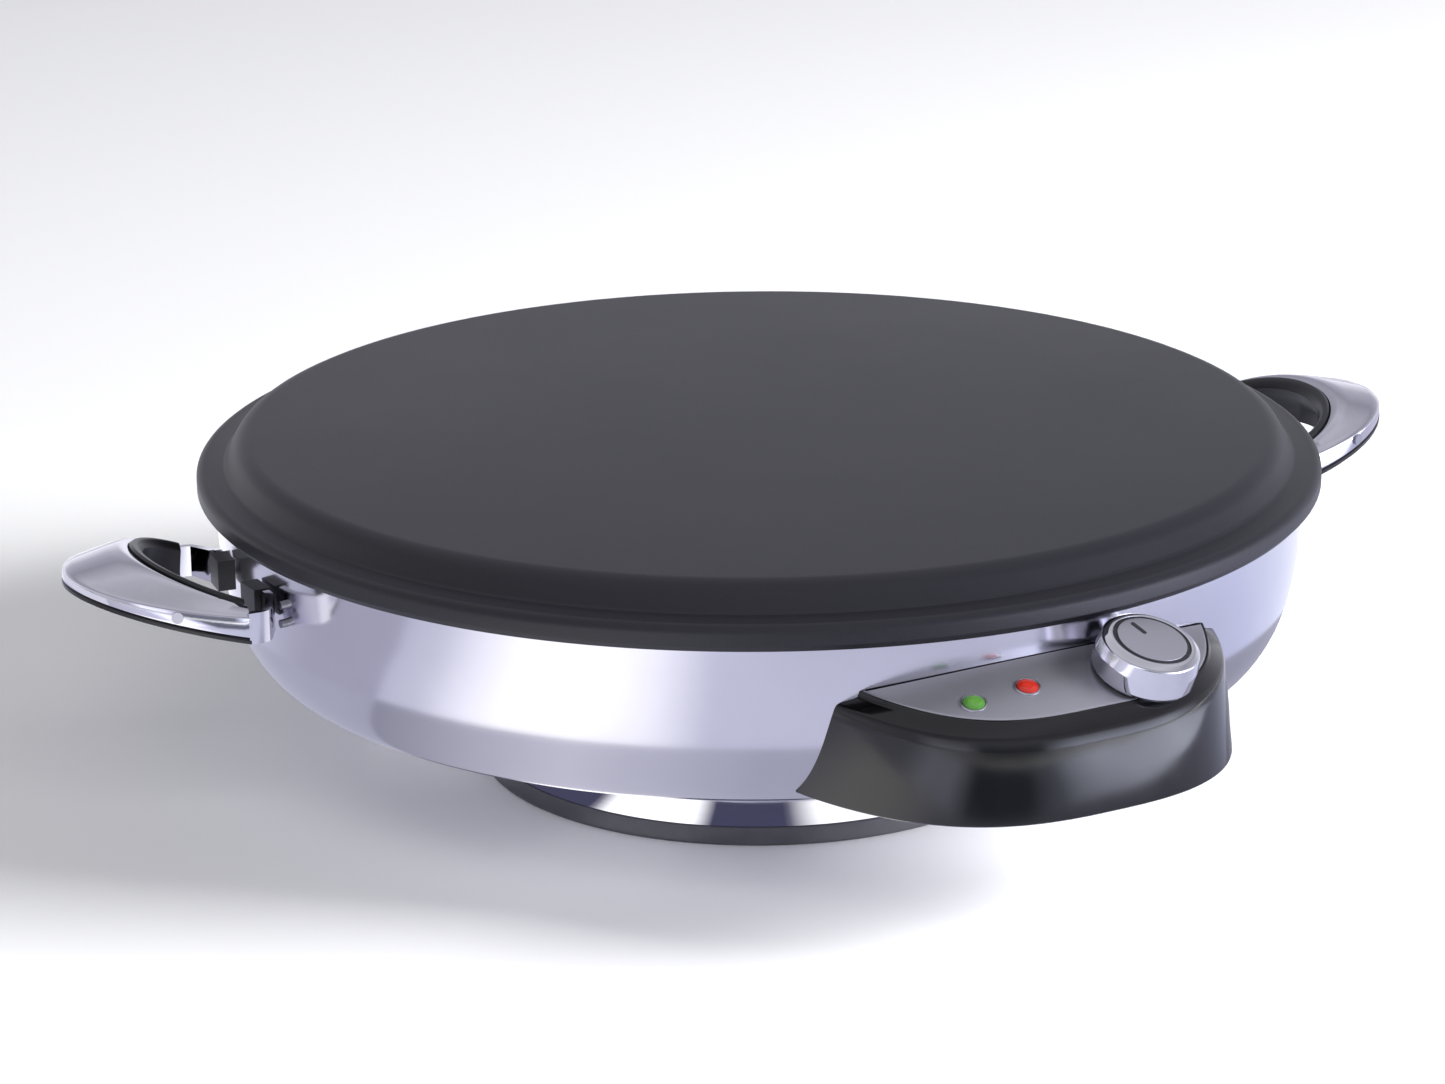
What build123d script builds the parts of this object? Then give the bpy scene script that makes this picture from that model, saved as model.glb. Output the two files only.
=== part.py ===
from build123d import *
from math import cos, sin, tan, radians, hypot
import os

# Round electric griddle: a cast plate on a spun steel bowl and a low pedestal, with a
# control box on the front and a handle on each side. Millimetres. The origin is on the
# bowl's axis at floor level, +X runs through the right handle and -Y through the box.

# ---------------------------------------------------------------- driving dimensions
PLATE_R = 210.0            # outside radius of the cooking plate
PLATE_TOP = 129.7          # height of the cooking surface
PLATE_UNDER = 121.2        # underside of the plate's web
RIM_BOTTOM = 109.5         # lowest edge of the plate's rim
BOWL_RIM_Z = 112.8         # top of the bowl, where the plate sits
BOWL_WALL = 1.0            # sheet thickness of the bowl
BOWL_FLOOR_Z = 30.0        # flat centre of the bowl's bottom
BAND_SCREW_CIRCLE = 99.6   # radius of the circle of screws through the band's flange
BASE_SCREW_CIRCLE = 100.2  # radius of the circle of screws through the base plate
SCREW_R = 1.5              # radius of the small self-tapping screws
FOOT_R = 106.8             # outside radius of the foot ring at the floor
FOOT_H = 6.7               # height of the foot ring that shows
BAND_R = 105.0             # outside radius of the pedestal band
SHEET = 1.2                # thickness of the small sheet parts

ELEMENT_R = 120.0          # radius of the heating element's ring
ELEMENT_TUBE = 4.2         # radius of the element's tube
ROD_CIRCLE = 66.0          # radius of the circle of tie rods
ROD_R = 2.5                # radius of a tie rod
ROD_ANGLES = (90, 210, 330)
CLAMP_ANGLES = (30, 90, 150, 210, 330)

BOX_FLOOR = 53.5           # underside of the control box
BOX_FRONT = 241.7          # distance of the box's front from the axis, at its floor
BOX_BACK = 95.0            # where the box's outline is widest, inside the bowl
BOX_HALF = 90.4            # half width of the box's outline at its floor
BOX_WALL = 2.6             # wall thickness of the box
BOX_SQUARE = 2.75          # exponent of the box's rounded outline
FIT = 0.2                  # clearance between pieces that are screwed together

LID_SLOPE = 19.7           # slope of the box's conical lid, degrees
LID_AXIS = 121.0           # distance of the cone's upright axis from the bowl's axis
PANEL_FRONT = 232.5        # distance of the panel's front edge from the axis
PANEL_FRONT_Z = 88.2       # height of the panel's front edge
PANEL_HALF = 81.2          # half width of the panel's outline
PANEL_T = 1.2              # thickness of the panel

KNOB_AT = (23.5, -220.3)   # centres of the knob and of the two lamps on the lid, in plan
GREEN_AT = (-40.6, -216.0)
RED_AT = (-19.7, -216.4)
KNOB_R = 18.0
KNOB_H = 14.0
SHAFT_R = 3.0
LENS_R = 3.9

HANDLE_ROOT = 217.0        # where the grip's outline starts, from the axis
HANDLE_OUT = 53.0          # reach of the grip beyond that
HANDLE_HALF = 43.0         # half width of the grip
HANDLE_SKIN = 1.4          # thickness of the handle's metal shell
STRAP_T = 2.6              # thickness of the handle's arms
STRAP_BOTTOM, STRAP_TOP = 87.0, 98.4
HANDLE_TURN = -4.0         # turn of the handles' line about the bowl's axis, degrees

os.makedirs("parts", exist_ok=True)


def save(piece, name):
    """Label one finished piece and write it to its own file."""
    piece.part.label = name
    export_step(piece.part, f"parts/{name}.step")


def polar(radius, angle, height=0.0):
    """A point at a radius and an angle in degrees about the bowl's axis."""
    return (radius * cos(radians(angle)), radius * sin(radians(angle)), height)


def screws(plane, points, head_r, head_h, shank_r, shank_l):
    """Cross-headed screws: the heads stand on the plane and the shanks go below it."""
    with BuildSketch(plane) as heads:
        with Locations(*points):
            Circle(head_r)
    extrude(heads.sketch, amount=head_h)
    rims = edges().filter_by(GeomType.CIRCLE).filter_by(
        lambda edge: abs(plane.to_local_coords(edge.center()).Z - head_h) < 0.01)
    fillet(rims, head_h * 0.45)
    with BuildSketch(plane.offset(head_h)) as crosses:
        with Locations(*points):
            Rectangle(head_r * 1.1, head_r * 0.22)
            Rectangle(head_r * 0.22, head_r * 1.1)
    extrude(crosses.sketch, amount=-head_h * 0.5, mode=Mode.SUBTRACT)
    with BuildSketch(plane) as shanks:
        with Locations(*points):
            Circle(shank_r)
    extrude(shanks.sketch, amount=-shank_l)


def ring_points(radius, count, start=0.0):
    """Points evenly spaced round the axis, as (x, y)."""
    return [polar(radius, start + 360 * k / count)[:2] for k in range(count)]


HANDLE_SCREW_ANGLES = (-9.0, 9.0)
HANDLE_SCREW_Z = 92.5


def inner_wall_plane(angle):
    """A plane on the bowl's inside wall, facing the axis, where a handle is screwed on."""
    return Plane(origin=polar(201.0, angle, HANDLE_SCREW_Z), x_dir=polar(1, angle + 90),
                 z_dir=polar(-1, angle))


# ---------------------------------------------------------------- bowl's outline
# Each knee of the bowl's outside: radius, height, and how far its face leans down.
BOWL_KNEES = ((203.4, BOWL_RIM_Z, 0), (202.9, 95.0, 3), (200.7, 76.5, 10),
              (195.2, 59.0, 28), (187.5, 49.3, 55), (178.0, 46.3, 76))


def bowl_knees(outward):
    """The knees moved outward from the sheet's outside face, as (radius, height)."""
    return [(r + outward * cos(radians(lean)), z - outward * sin(radians(lean)))
            for r, z, lean in BOWL_KNEES]


def bowl_side(outward):
    """The bowl's curved side as one smooth line in the radial plane."""
    knees = bowl_knees(outward)
    lean = radians(BOWL_KNEES[-1][2])
    return Spline(*knees, tangents=[(0, -1), (-sin(lean), -cos(lean))])


# ================================================================ cooking plate
# Cast aluminium, with a rounded shoulder, a shallow gutter and a turned-down rim.
with BuildPart() as cooking_plate:
    with BuildSketch(Plane.XZ):
        with BuildLine():
            FilletPolyline((0, PLATE_TOP), (194.0, PLATE_TOP), (199.6, 119.3), radius=8.0)
            Polyline((199.6, 119.3), (205.6, 119.3))
            FilletPolyline((205.6, 119.3), (PLATE_R, 119.0), (PLATE_R, 112.0), radius=3.2)
            Polyline((PLATE_R, 112.0), (207.7, RIM_BOTTOM), (204.0, RIM_BOTTOM),
                     (204.0, BOWL_RIM_Z), (192.0, BOWL_RIM_Z), (185.0, PLATE_UNDER),
                     (0, PLATE_UNDER), (0, PLATE_TOP))
        make_face()
    revolve(axis=Axis.Z)
    boss_top = Plane.XY.offset(PLATE_UNDER)
    with BuildSketch(boss_top):
        with PolarLocations(ROD_CIRCLE, 3, start_angle=90):
            Circle(8)
    extrude(amount=-8)
    with BuildSketch(boss_top):
        for angle in CLAMP_ANGLES:
            for radius in (ELEMENT_R - 13, ELEMENT_R + 13):
                with Locations(polar(radius, angle)):
                    Circle(4.5)
    extrude(amount=-2 * ELEMENT_TUBE)
    with BuildSketch(boss_top.offset(-8)):
        with PolarLocations(ROD_CIRCLE, 3, start_angle=90):
            Circle(ROD_R)
    extrude(amount=9, mode=Mode.SUBTRACT)
    with BuildSketch(boss_top.offset(-2 * ELEMENT_TUBE)):
        for angle in CLAMP_ANGLES:
            for radius in (ELEMENT_R - 13, ELEMENT_R + 13):
                with Locations(polar(radius, angle)):
                    Circle(2.0)
    extrude(amount=9, mode=Mode.SUBTRACT)
save(cooking_plate, "cooking_plate")

# ================================================================ heating element
# A sheathed tube bent to a ring, with both ends turned down beside each other.
ELEMENT_Z = PLATE_UNDER - ELEMENT_TUBE
END_ANGLE = 8.0                       # half of the gap between the ends
END_DROP = 26.0
end_a = 270 + END_ANGLE
end_b = 270 - END_ANGLE
with BuildPart() as heating_element:
    with BuildLine():
        ring = CenterArc((0, 0, ELEMENT_Z), ELEMENT_R, end_a, 360 - 2 * END_ANGLE)
    with BuildSketch(Plane(origin=ring @ 0, z_dir=ring % 0)):
        Circle(ELEMENT_TUBE)
    sweep()
    for angle in (end_a, end_b):
        with BuildSketch(Plane(origin=polar(ELEMENT_R, angle, ELEMENT_Z))):
            Circle(ELEMENT_TUBE)
        extrude(amount=-END_DROP)
        with Locations(polar(ELEMENT_R, angle, ELEMENT_Z)):
            Sphere(ELEMENT_TUBE)
save(heating_element, "heating_element")

with BuildPart() as element_pins:
    for angle in (end_a, end_b):
        with BuildSketch(Plane(origin=polar(ELEMENT_R, angle, ELEMENT_Z - END_DROP))):
            Circle(1.5)
        extrude(amount=-9)
save(element_pins, "element_pins")

# Flat straps that hold the element up against the plate, each with two screws.
strap_z = PLATE_UNDER - 2 * ELEMENT_TUBE - SHEET
with BuildPart() as element_clamps:
    for angle in CLAMP_ANGLES:
        with BuildSketch(Plane(origin=polar(ELEMENT_R, angle, strap_z),
                               x_dir=polar(1, angle))):
            RectangleRounded(38, 10, 4)
            with Locations((-13, 0), (13, 0)):
                Circle(2.3, mode=Mode.SUBTRACT)
        extrude(amount=SHEET)
save(element_clamps, "element_clamps")

with BuildPart() as clamp_screws:
    for angle in CLAMP_ANGLES:
        for radius in (ELEMENT_R - 13, ELEMENT_R + 13):
            with BuildSketch(Plane(origin=polar(radius, angle, strap_z))):
                RegularPolygon(3.6, 6)
            extrude(amount=-3)
            with BuildSketch(Plane(origin=polar(radius, angle, strap_z))):
                Circle(2.0)
            extrude(amount=9)
save(clamp_screws, "clamp_screws")

# ================================================================ reflector and pad
REFLECTOR_Z = 98.0
PAD_T = 12.0
lead_hole = polar(ELEMENT_R, 270)[1]
with BuildPart() as heat_reflector:
    with BuildSketch(Plane.XZ):
        with BuildLine():
            Polyline((0, REFLECTOR_Z), (160, REFLECTOR_Z), (178, 106), (188, 106),
                     (188, 106 + SHEET), (177.6, 106 + SHEET), (159.6, REFLECTOR_Z + SHEET),
                     (0, REFLECTOR_Z + SHEET), close=True)
        make_face()
    revolve(axis=Axis.Z)
    with BuildSketch(Plane.XY.offset(REFLECTOR_Z - 1)):
        with PolarLocations(ROD_CIRCLE, 3, start_angle=90):
            Circle(ROD_R + 0.5)
        with Locations((0, lead_hole)):
            RectangleRounded(52, 16, 7)
        with Locations((40, 30)):
            Circle(3)
    extrude(amount=4, mode=Mode.SUBTRACT)
save(heat_reflector, "heat_reflector")

with BuildPart() as insulation_pad:
    with BuildSketch(Plane.XY.offset(REFLECTOR_Z - PAD_T)):
        Circle(158)
        with PolarLocations(ROD_CIRCLE, 3, start_angle=90):
            Circle(9, mode=Mode.SUBTRACT)
        with Locations((0, lead_hole)):
            RectangleRounded(56, 20, 9, mode=Mode.SUBTRACT)
        with Locations((40, 30)):
            Circle(4, mode=Mode.SUBTRACT)
    extrude(amount=PAD_T)
save(insulation_pad, "insulation_pad")

# ================================================================ tie rods and nuts
# Three rods clamp the plate, the reflector, the bowl and the base plate together.
BASE_Z = 11.0
with BuildPart() as tie_rods:
    with BuildSketch(Plane.XY.offset(BASE_Z - 7)):
        with PolarLocations(ROD_CIRCLE, 3, start_angle=90):
            Circle(ROD_R)
    extrude(amount=PLATE_UNDER - BASE_Z + 7)
save(tie_rods, "tie_rods")

with BuildPart() as rod_spacers:
    for bottom, top in ((BOWL_FLOOR_Z + BOWL_WALL, REFLECTOR_Z),
                        (REFLECTOR_Z + SHEET, PLATE_UNDER - 8),
                        (BASE_Z + SHEET, BOWL_FLOOR_Z)):
        with BuildSketch(Plane.XY.offset(bottom)):
            with PolarLocations(ROD_CIRCLE, 3, start_angle=90):
                Circle(5.5)
                Circle(ROD_R + 0.15, mode=Mode.SUBTRACT)
        extrude(amount=top - bottom)
save(rod_spacers, "rod_spacers")

with BuildPart() as rod_nuts:
    with BuildSketch(Plane.XY.offset(BASE_Z - 4)):
        with PolarLocations(ROD_CIRCLE, 3, start_angle=90):
            RegularPolygon(4.6, 6)
            Circle(ROD_R, mode=Mode.SUBTRACT)
    extrude(amount=4)
save(rod_nuts, "rod_nuts")

# ================================================================ bowl
# Spun stainless steel. Its rolled-in top carries the plate. The bottom has a hole for
# each tie rod, and the front has a window into the control box.
window_y = -200.0
with BuildPart() as bowl_shell:
    with BuildSketch(Plane.YZ):
        with BuildLine():
            outer = bowl_side(0.0)
            Polyline(outer @ 1, (112, BOWL_FLOOR_Z + 2), (104, BOWL_FLOOR_Z), (0, BOWL_FLOOR_Z),
                     (0, BOWL_FLOOR_Z + BOWL_WALL), (104, BOWL_FLOOR_Z + BOWL_WALL),
                     (111.6, BOWL_FLOOR_Z + 3), bowl_knees(-BOWL_WALL)[-1])
            inner = bowl_side(-BOWL_WALL)
            Line(inner @ 0, outer @ 0)
        make_face()
        with Locations((198.3, BOWL_RIM_Z - BOWL_WALL / 2)):
            Rectangle(9, BOWL_WALL)
    revolve(axis=Axis.Z)
    with BuildSketch(Plane.XY.offset(BOWL_FLOOR_Z - 1)):
        with PolarLocations(ROD_CIRCLE, 3, start_angle=90):
            Circle(ROD_R + 0.5)
        with PolarLocations(40, 8, start_angle=22.5):
            SlotOverall(24, 5, rotation=90)
        with PolarLocations(BAND_SCREW_CIRCLE, 6):
            Circle(SCREW_R)
    extrude(amount=3, mode=Mode.SUBTRACT)
    with BuildSketch(Plane(origin=(0, window_y, 72), x_dir=(1, 0, 0), z_dir=(0, -1, 0))):
        RectangleRounded(76, 18, 5)
    extrude(amount=14, both=True, mode=Mode.SUBTRACT)
    for angle in HANDLE_SCREW_ANGLES:
        for side in (angle + HANDLE_TURN, angle + HANDLE_TURN + 180):
            with Locations(inner_wall_plane(side)):
                with Locations((0, -3.4), (0, 3.4)):
                    Cylinder(SCREW_R + 0.1, 8, mode=Mode.SUBTRACT)
save(bowl_shell, "bowl_shell")

# ================================================================ pedestal
# A plated band with a turned-in top, screwed up into the bowl's bottom.
with BuildPart() as pedestal_band:
    with BuildSketch(Plane.XZ):
        with BuildLine():
            Polyline((BAND_R, FOOT_H), (BAND_R, BOWL_FLOOR_Z - 2.4), (103.4, BOWL_FLOOR_Z),
                     (96, BOWL_FLOOR_Z), (96, BOWL_FLOOR_Z - SHEET),
                     (102.6, BOWL_FLOOR_Z - SHEET), (103.6, BOWL_FLOOR_Z - 3), (103.6, FOOT_H),
                     close=True)
        make_face()
    revolve(axis=Axis.Z)
    with BuildSketch(Plane.XY.offset(BOWL_FLOOR_Z + 1)):
        with PolarLocations(BAND_SCREW_CIRCLE, 6):
            Circle(SCREW_R)
    extrude(amount=-4, mode=Mode.SUBTRACT)
save(pedestal_band, "pedestal_band")


with BuildPart() as band_screws:
    head_plane = Plane.XY.offset(BOWL_FLOOR_Z - SHEET)
    head_plane = Plane(origin=head_plane.origin, x_dir=(1, 0, 0), z_dir=(0, 0, -1))
    screws(head_plane, ring_points(BAND_SCREW_CIRCLE, 6), 2.9, 1.8, SCREW_R, 4)
save(band_screws, "band_screws")

with BuildPart() as foot_ring:
    with BuildSketch(Plane.XZ):
        with BuildLine():
            Polyline((97, 0), (FOOT_R - 0.8, 0), (FOOT_R, 0.8), (105.6, FOOT_H),
                     (103.4, FOOT_H), (103.4, BASE_Z), (97, BASE_Z), close=True)
        make_face()
    revolve(axis=Axis.Z)
    with BuildSketch(Plane.XY.offset(BASE_Z)):
        with Locations(*ring_points(BASE_SCREW_CIRCLE, 6, 30)):
            Circle(SCREW_R)
    extrude(amount=-6, mode=Mode.SUBTRACT)
save(foot_ring, "foot_ring")

# The base plate closes the pedestal from below and has rows of cooling slots.
with BuildPart() as base_plate:
    with BuildSketch(Plane.XY.offset(BASE_Z)):
        Circle(103.0)
        with Locations(*ring_points(ROD_CIRCLE, 3, 90)):
            Circle(ROD_R + 0.3, mode=Mode.SUBTRACT)
        for radius, count in ((20, 8), (48, 16), (82, 28)):
            with PolarLocations(radius, count, start_angle=180 / count):
                SlotOverall(22, 3.6, mode=Mode.SUBTRACT)
        with Locations(*ring_points(BASE_SCREW_CIRCLE, 6, 30)):
            Circle(SCREW_R, mode=Mode.SUBTRACT)
    extrude(amount=SHEET)
save(base_plate, "base_plate")

with BuildPart() as base_screws:
    screws(Plane.XY.offset(BASE_Z + SHEET), ring_points(BASE_SCREW_CIRCLE, 6, 30),
           2.7, 1.8, SCREW_R, 6)
save(base_screws, "base_screws")

# ================================================================ control box
# A moulded box with a rounded plan and a shallow conical lid that falls towards the
# user. Its open back fits the bowl, and its floor is a separate cover.
EDGE_HALF, EDGE_FRONT, EDGE_FRONT_Z, EDGE_SLOPE = 87.8, 237.6, 82.6, 6.8
RIM = 1.0                  # width of the rim that shows round the panel
RIM_SLOPE = 4.5
LID_ROOM = 160.0           # height above everything
slope = radians(LID_SLOPE)


def lid_height(x, y):
    """The height of the conical lid at a place in plan."""
    return PANEL_FRONT_Z + (PANEL_FRONT - LID_AXIS - hypot(x, y + LID_AXIS)) * tan(slope)


def lid_plane(at):
    """A plane on the lid's surface at a place in plan, with its x direction level."""
    x, y = at
    run = hypot(x, y + LID_AXIS)
    out_x, out_y = x / run, (y + LID_AXIS) / run
    return Plane(origin=(x, y, lid_height(x, y)), x_dir=(-out_y, out_x, 0),
                 z_dir=(sin(slope) * out_x, sin(slope) * out_y, cos(slope)))


def leaning_plane(front, height, lean):
    """A plane through the box's front at a height, that rises towards the bowl."""
    return Plane(origin=(0, -front, height), x_dir=(1, 0, 0),
                 z_dir=(0, -sin(radians(lean)), cos(radians(lean))))


def d_face(plane, half, front, lean=0.0, inset=0.0):
    """A D-shaped face whose front is at the plane's origin and back is a straight line."""
    depth = (front - BOX_BACK) / cos(radians(lean))
    width = half - inset
    power = 2 / BOX_SQUARE
    turns = [radians(step) for step in range(15, 180, 15)]
    points = [(width * cos(t) / abs(cos(t) + 1e-9) * abs(cos(t)) ** power,
               depth - (depth - inset) * sin(t) ** power) for t in turns]
    points = [(width, depth)] + points + [(-width, depth)]
    with BuildSketch(plane) as face:
        with BuildLine() as outline:
            Spline(*points, tangents=[(0, -1), (0, 1)])
            Line(points[-1], points[0])
        make_face(outline.edges())
    return face.sketch


def above_lid(drop, mode=Mode.ADD):
    """The space above the lid's cone, or above the cone lowered by a drop."""
    reach = 150.0
    tip = lid_height(0, -LID_AXIS) - drop / cos(slope)
    side = Plane(origin=(0, -LID_AXIS, 0), x_dir=(1, 0, 0), z_dir=(0, -1, 0))
    with BuildSketch(side) as section:
        with BuildLine() as profile:
            Polyline((0, tip), (reach, tip - reach * tan(slope)), (reach, LID_ROOM),
                     (0, LID_ROOM), close=True)
        make_face(profile.edges())
    revolve(section.sketch, axis=Axis((0, -LID_AXIS, 0), (0, 0, 1)), mode=mode)


def box_form(inset, drop):
    """The box's outer form, or with an inset and a drop the hollow inside it."""
    floor = Plane(origin=(0, -BOX_FRONT, BOX_FLOOR - 2 * drop))
    edge_plane = leaning_plane(EDGE_FRONT, EDGE_FRONT_Z - drop, EDGE_SLOPE)
    rim_plane = leaning_plane(PANEL_FRONT + RIM, PANEL_FRONT_Z - 1.1 - drop, RIM_SLOPE)
    low = d_face(floor, BOX_HALF, BOX_FRONT, 0.0, inset)
    edge = d_face(edge_plane, EDGE_HALF, EDGE_FRONT, EDGE_SLOPE, inset)
    rim = d_face(rim_plane, PANEL_HALF + RIM, PANEL_FRONT + RIM, RIM_SLOPE, inset)
    loft([low, edge], ruled=True)
    loft([edge, rim], ruled=True)
    extrude(rim, amount=LID_ROOM - 100, dir=(0, 0, 1))


def panel_form(gap):
    """The panel's outline as an upright block, with a gap round it."""
    level = Plane(origin=(0, -PANEL_FRONT, BOX_FLOOR))
    return extrude(d_face(level, PANEL_HALF, PANEL_FRONT, 0.0, -gap), amount=LID_ROOM - 60,
                   mode=Mode.INTERSECT)


# The space that the bowl takes up, with the fitting clearance round it.
with BuildPart(mode=Mode.PRIVATE) as bowl_clearance:
    with BuildSketch(Plane.XZ):
        with BuildLine():
            side = bowl_side(FIT)
            Polyline(side @ 1, (100, 30), (0, 30), (0, 160), (203.4 + FIT, 160), side @ 0)
        make_face()
    revolve(axis=Axis.Z)

with BuildPart(mode=Mode.PRIVATE) as box_outside:
    box_form(0.0, 0.0)
    above_lid(0.0, Mode.SUBTRACT)
with BuildPart(mode=Mode.PRIVATE) as box_inside:
    box_form(BOX_WALL, 3.0)
    above_lid(BOX_WALL, Mode.SUBTRACT)
with BuildPart(mode=Mode.PRIVATE) as panel_recess:
    above_lid(PANEL_T)
    panel_form(FIT)

POSTS = ((59, -203.5), (-59, -203.5), (42, -223), (-42, -223))
POST_R = 4.2
COVER_Z = BOX_FLOOR + 1.0
COVER_T = 3.0
GLAND = (30.0, -212.0)
GLAND_BORE = 3.6

with BuildPart() as control_housing:
    add(box_outside.part)
    add(box_inside.part, mode=Mode.SUBTRACT)
    for x, y in POSTS:
        post_z = COVER_Z + COVER_T + FIT
        with BuildSketch(Plane.XY.offset(post_z)):
            with Locations((x, y)):
                Circle(POST_R)
        extrude(amount=lid_height(x, y) - 2.4 - post_z)
        with Locations((x, y, post_z)):
            Cylinder(SCREW_R, 24, mode=Mode.SUBTRACT)
    add(bowl_clearance.part, mode=Mode.SUBTRACT)
    add(panel_recess.part, mode=Mode.SUBTRACT)
    for at, radius in ((KNOB_AT, 5.2), (GREEN_AT, LENS_R + 1.3), (RED_AT, LENS_R + 1.3)):
        with BuildSketch(lid_plane(at)):
            Circle(radius)
        extrude(amount=-8, mode=Mode.SUBTRACT)
save(control_housing, "control_housing")

with BuildPart() as housing_cover:
    cover = d_face(Plane(origin=(0, -BOX_FRONT, COVER_Z)), BOX_HALF, BOX_FRONT, 0.0,
                   BOX_WALL + 1.6)
    extrude(cover, amount=COVER_T)
    add(bowl_clearance.part, mode=Mode.SUBTRACT)
    with BuildSketch(Plane.XY.offset(COVER_Z)):
        with Locations(*POSTS):
            Circle(SCREW_R)
        with Locations(GLAND):
            Circle(6.0)
        with GridLocations(9, 1, 6, 1):
            with Locations((-8, -222)):
                SlotOverall(20, 3, rotation=90)
    extrude(amount=COVER_T, mode=Mode.SUBTRACT)
    with BuildSketch(Plane.XY.offset(COVER_Z)):
        with Locations(*POSTS):
            Circle(3.2)
    extrude(amount=1.7, mode=Mode.SUBTRACT)
save(housing_cover, "housing_cover")

with BuildPart() as cover_screws:
    head_plane = Plane(origin=(0, 0, COVER_Z + 1.7), x_dir=(1, 0, 0), z_dir=(0, 0, -1))
    screws(head_plane, [(x, -y) for x, y in POSTS], 2.9, 1.5, SCREW_R, 10)
save(cover_screws, "cover_screws")

# A rubber bush that lines the hole for the supply cord.
with BuildPart() as cord_gland:
    with Locations((*GLAND, COVER_Z - 1.8)):
        Cylinder(8.5, 1.8, align=(Align.CENTER, Align.CENTER, Align.MIN))
    with Locations((*GLAND, COVER_Z)):
        Cylinder(6.0, COVER_T, align=(Align.CENTER, Align.CENTER, Align.MIN))
    with Locations((*GLAND, COVER_Z + COVER_T)):
        Cylinder(7.6, 2.5, align=(Align.CENTER, Align.CENTER, Align.MIN))
    with Locations((*GLAND, COVER_Z)):
        Cylinder(GLAND_BORE, 20, mode=Mode.SUBTRACT)
save(cord_gland, "cord_gland")

# A steel sheet that stands off the bowl's wall and shades the controls from its heat.
SHIELD_R = 205.4
with BuildPart() as heat_shield:
    with BuildSketch(Plane.XY.offset(COVER_Z + COVER_T + 0.5)):
        with BuildLine():
            CenterArc((0, 0), SHIELD_R, -107, 34)
            CenterArc((0, 0), SHIELD_R + 0.6, -107, 34)
            Line(polar(SHIELD_R, -107), polar(SHIELD_R + 0.6, -107))
            Line(polar(SHIELD_R, -73), polar(SHIELD_R + 0.6, -73))
        make_face()
    extrude(amount=25)
    with BuildSketch(Plane(origin=(0, -206, 72), x_dir=(1, 0, 0), z_dir=(0, -1, 0))):
        RectangleRounded(80, 12, 4)
    extrude(amount=12, both=True, mode=Mode.SUBTRACT)
save(heat_shield, "heat_shield")

# ================================================================ panel and lamps
with BuildPart() as control_panel:
    above_lid(PANEL_T)
    panel_form(0.0)
    above_lid(0.0, Mode.SUBTRACT)
    add(bowl_clearance.part, mode=Mode.SUBTRACT)
    for at, radius in ((KNOB_AT, 5.0), (GREEN_AT, LENS_R + 0.1), (RED_AT, LENS_R + 0.1)):
        with BuildSketch(lid_plane(at)):
            Circle(radius)
        extrude(amount=-3, mode=Mode.SUBTRACT)
save(control_panel, "control_panel")


def turned(place, outline):
    """A piece turned about the panel's normal, from its (radius, height) outline."""
    side = Plane(origin=place.origin, x_dir=place.x_dir, z_dir=-place.y_dir)
    with BuildSketch(side) as section:
        with BuildLine() as profile:
            Polyline(*outline, close=True)
        make_face(profile.edges())
    revolve(section.sketch, axis=Axis(place.origin, place.z_dir))


for colour, at in (("green", GREEN_AT), ("red", RED_AT)):
    place = lid_plane(at)
    with BuildPart() as lens:
        turned(place, ((0, -3.6), (LENS_R + 1.1, -3.6), (LENS_R + 1.1, -PANEL_T - 0.2),
                       (LENS_R, -PANEL_T - 0.2), (LENS_R, 0.3), (LENS_R - 0.9, 0.9), (0, 1.1)))
    save(lens, f"{colour}_lens")
    with BuildPart() as lamp:
        turned(place, ((0, -13), (3.0, -13), (3.0, -7.5), (4.4, -7.5), (4.4, -3.8), (0, -3.8)))
    save(lamp, f"{colour}_lamp")

# ================================================================ thermostat and knob
knob_place = lid_plane(KNOB_AT)
BUSH_R = 4.7
with BuildPart() as thermostat:
    turned(knob_place, ((SHAFT_R + 0.05, -12), (SHAFT_R + 0.05, 3), (BUSH_R, 3), (BUSH_R, -4.4),
                        (10, -4.4), (10, -18), (0, -18), (0, -12)))
save(thermostat, "thermostat")

with BuildPart() as thermostat_nut:
    with BuildSketch(knob_place):
        RegularPolygon(7.2, 6)
        Circle(BUSH_R, mode=Mode.SUBTRACT)
    extrude(amount=2.2)
save(thermostat_nut, "thermostat_nut")

with BuildPart() as thermostat_shaft:
    turned(knob_place, ((0, -11.5), (SHAFT_R, -11.5), (SHAFT_R, 10.5), (0, 10.5)))
save(thermostat_shaft, "thermostat_shaft")

CAP_R = 12.2
with BuildPart() as control_knob:
    turned(knob_place, ((KNOB_R - 0.8, 0.8), (KNOB_R, 1.6), (KNOB_R, 7.0),
                        (KNOB_R - 0.3, 10.0), (KNOB_R - 1.1, 12.4), (KNOB_R - 2.6, KNOB_H - 0.3),
                        (KNOB_R - 3.6, KNOB_H), (CAP_R + 0.7, KNOB_H), (CAP_R + 0.7, KNOB_H - 1),
                        (0, KNOB_H - 1), (0, 10.7), (SHAFT_R, 10.7), (SHAFT_R, 3.4), (5.6, 3.4),
                        (5.6, 6.0), (14.6, 6.0), (14.6, 0.8)))
save(control_knob, "control_knob")

with BuildPart() as knob_clip:
    turned(knob_place, ((5.6, 3.6), (6.2, 3.6), (6.2, 5.6), (5.6, 5.6)))
save(knob_clip, "knob_clip")

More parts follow.
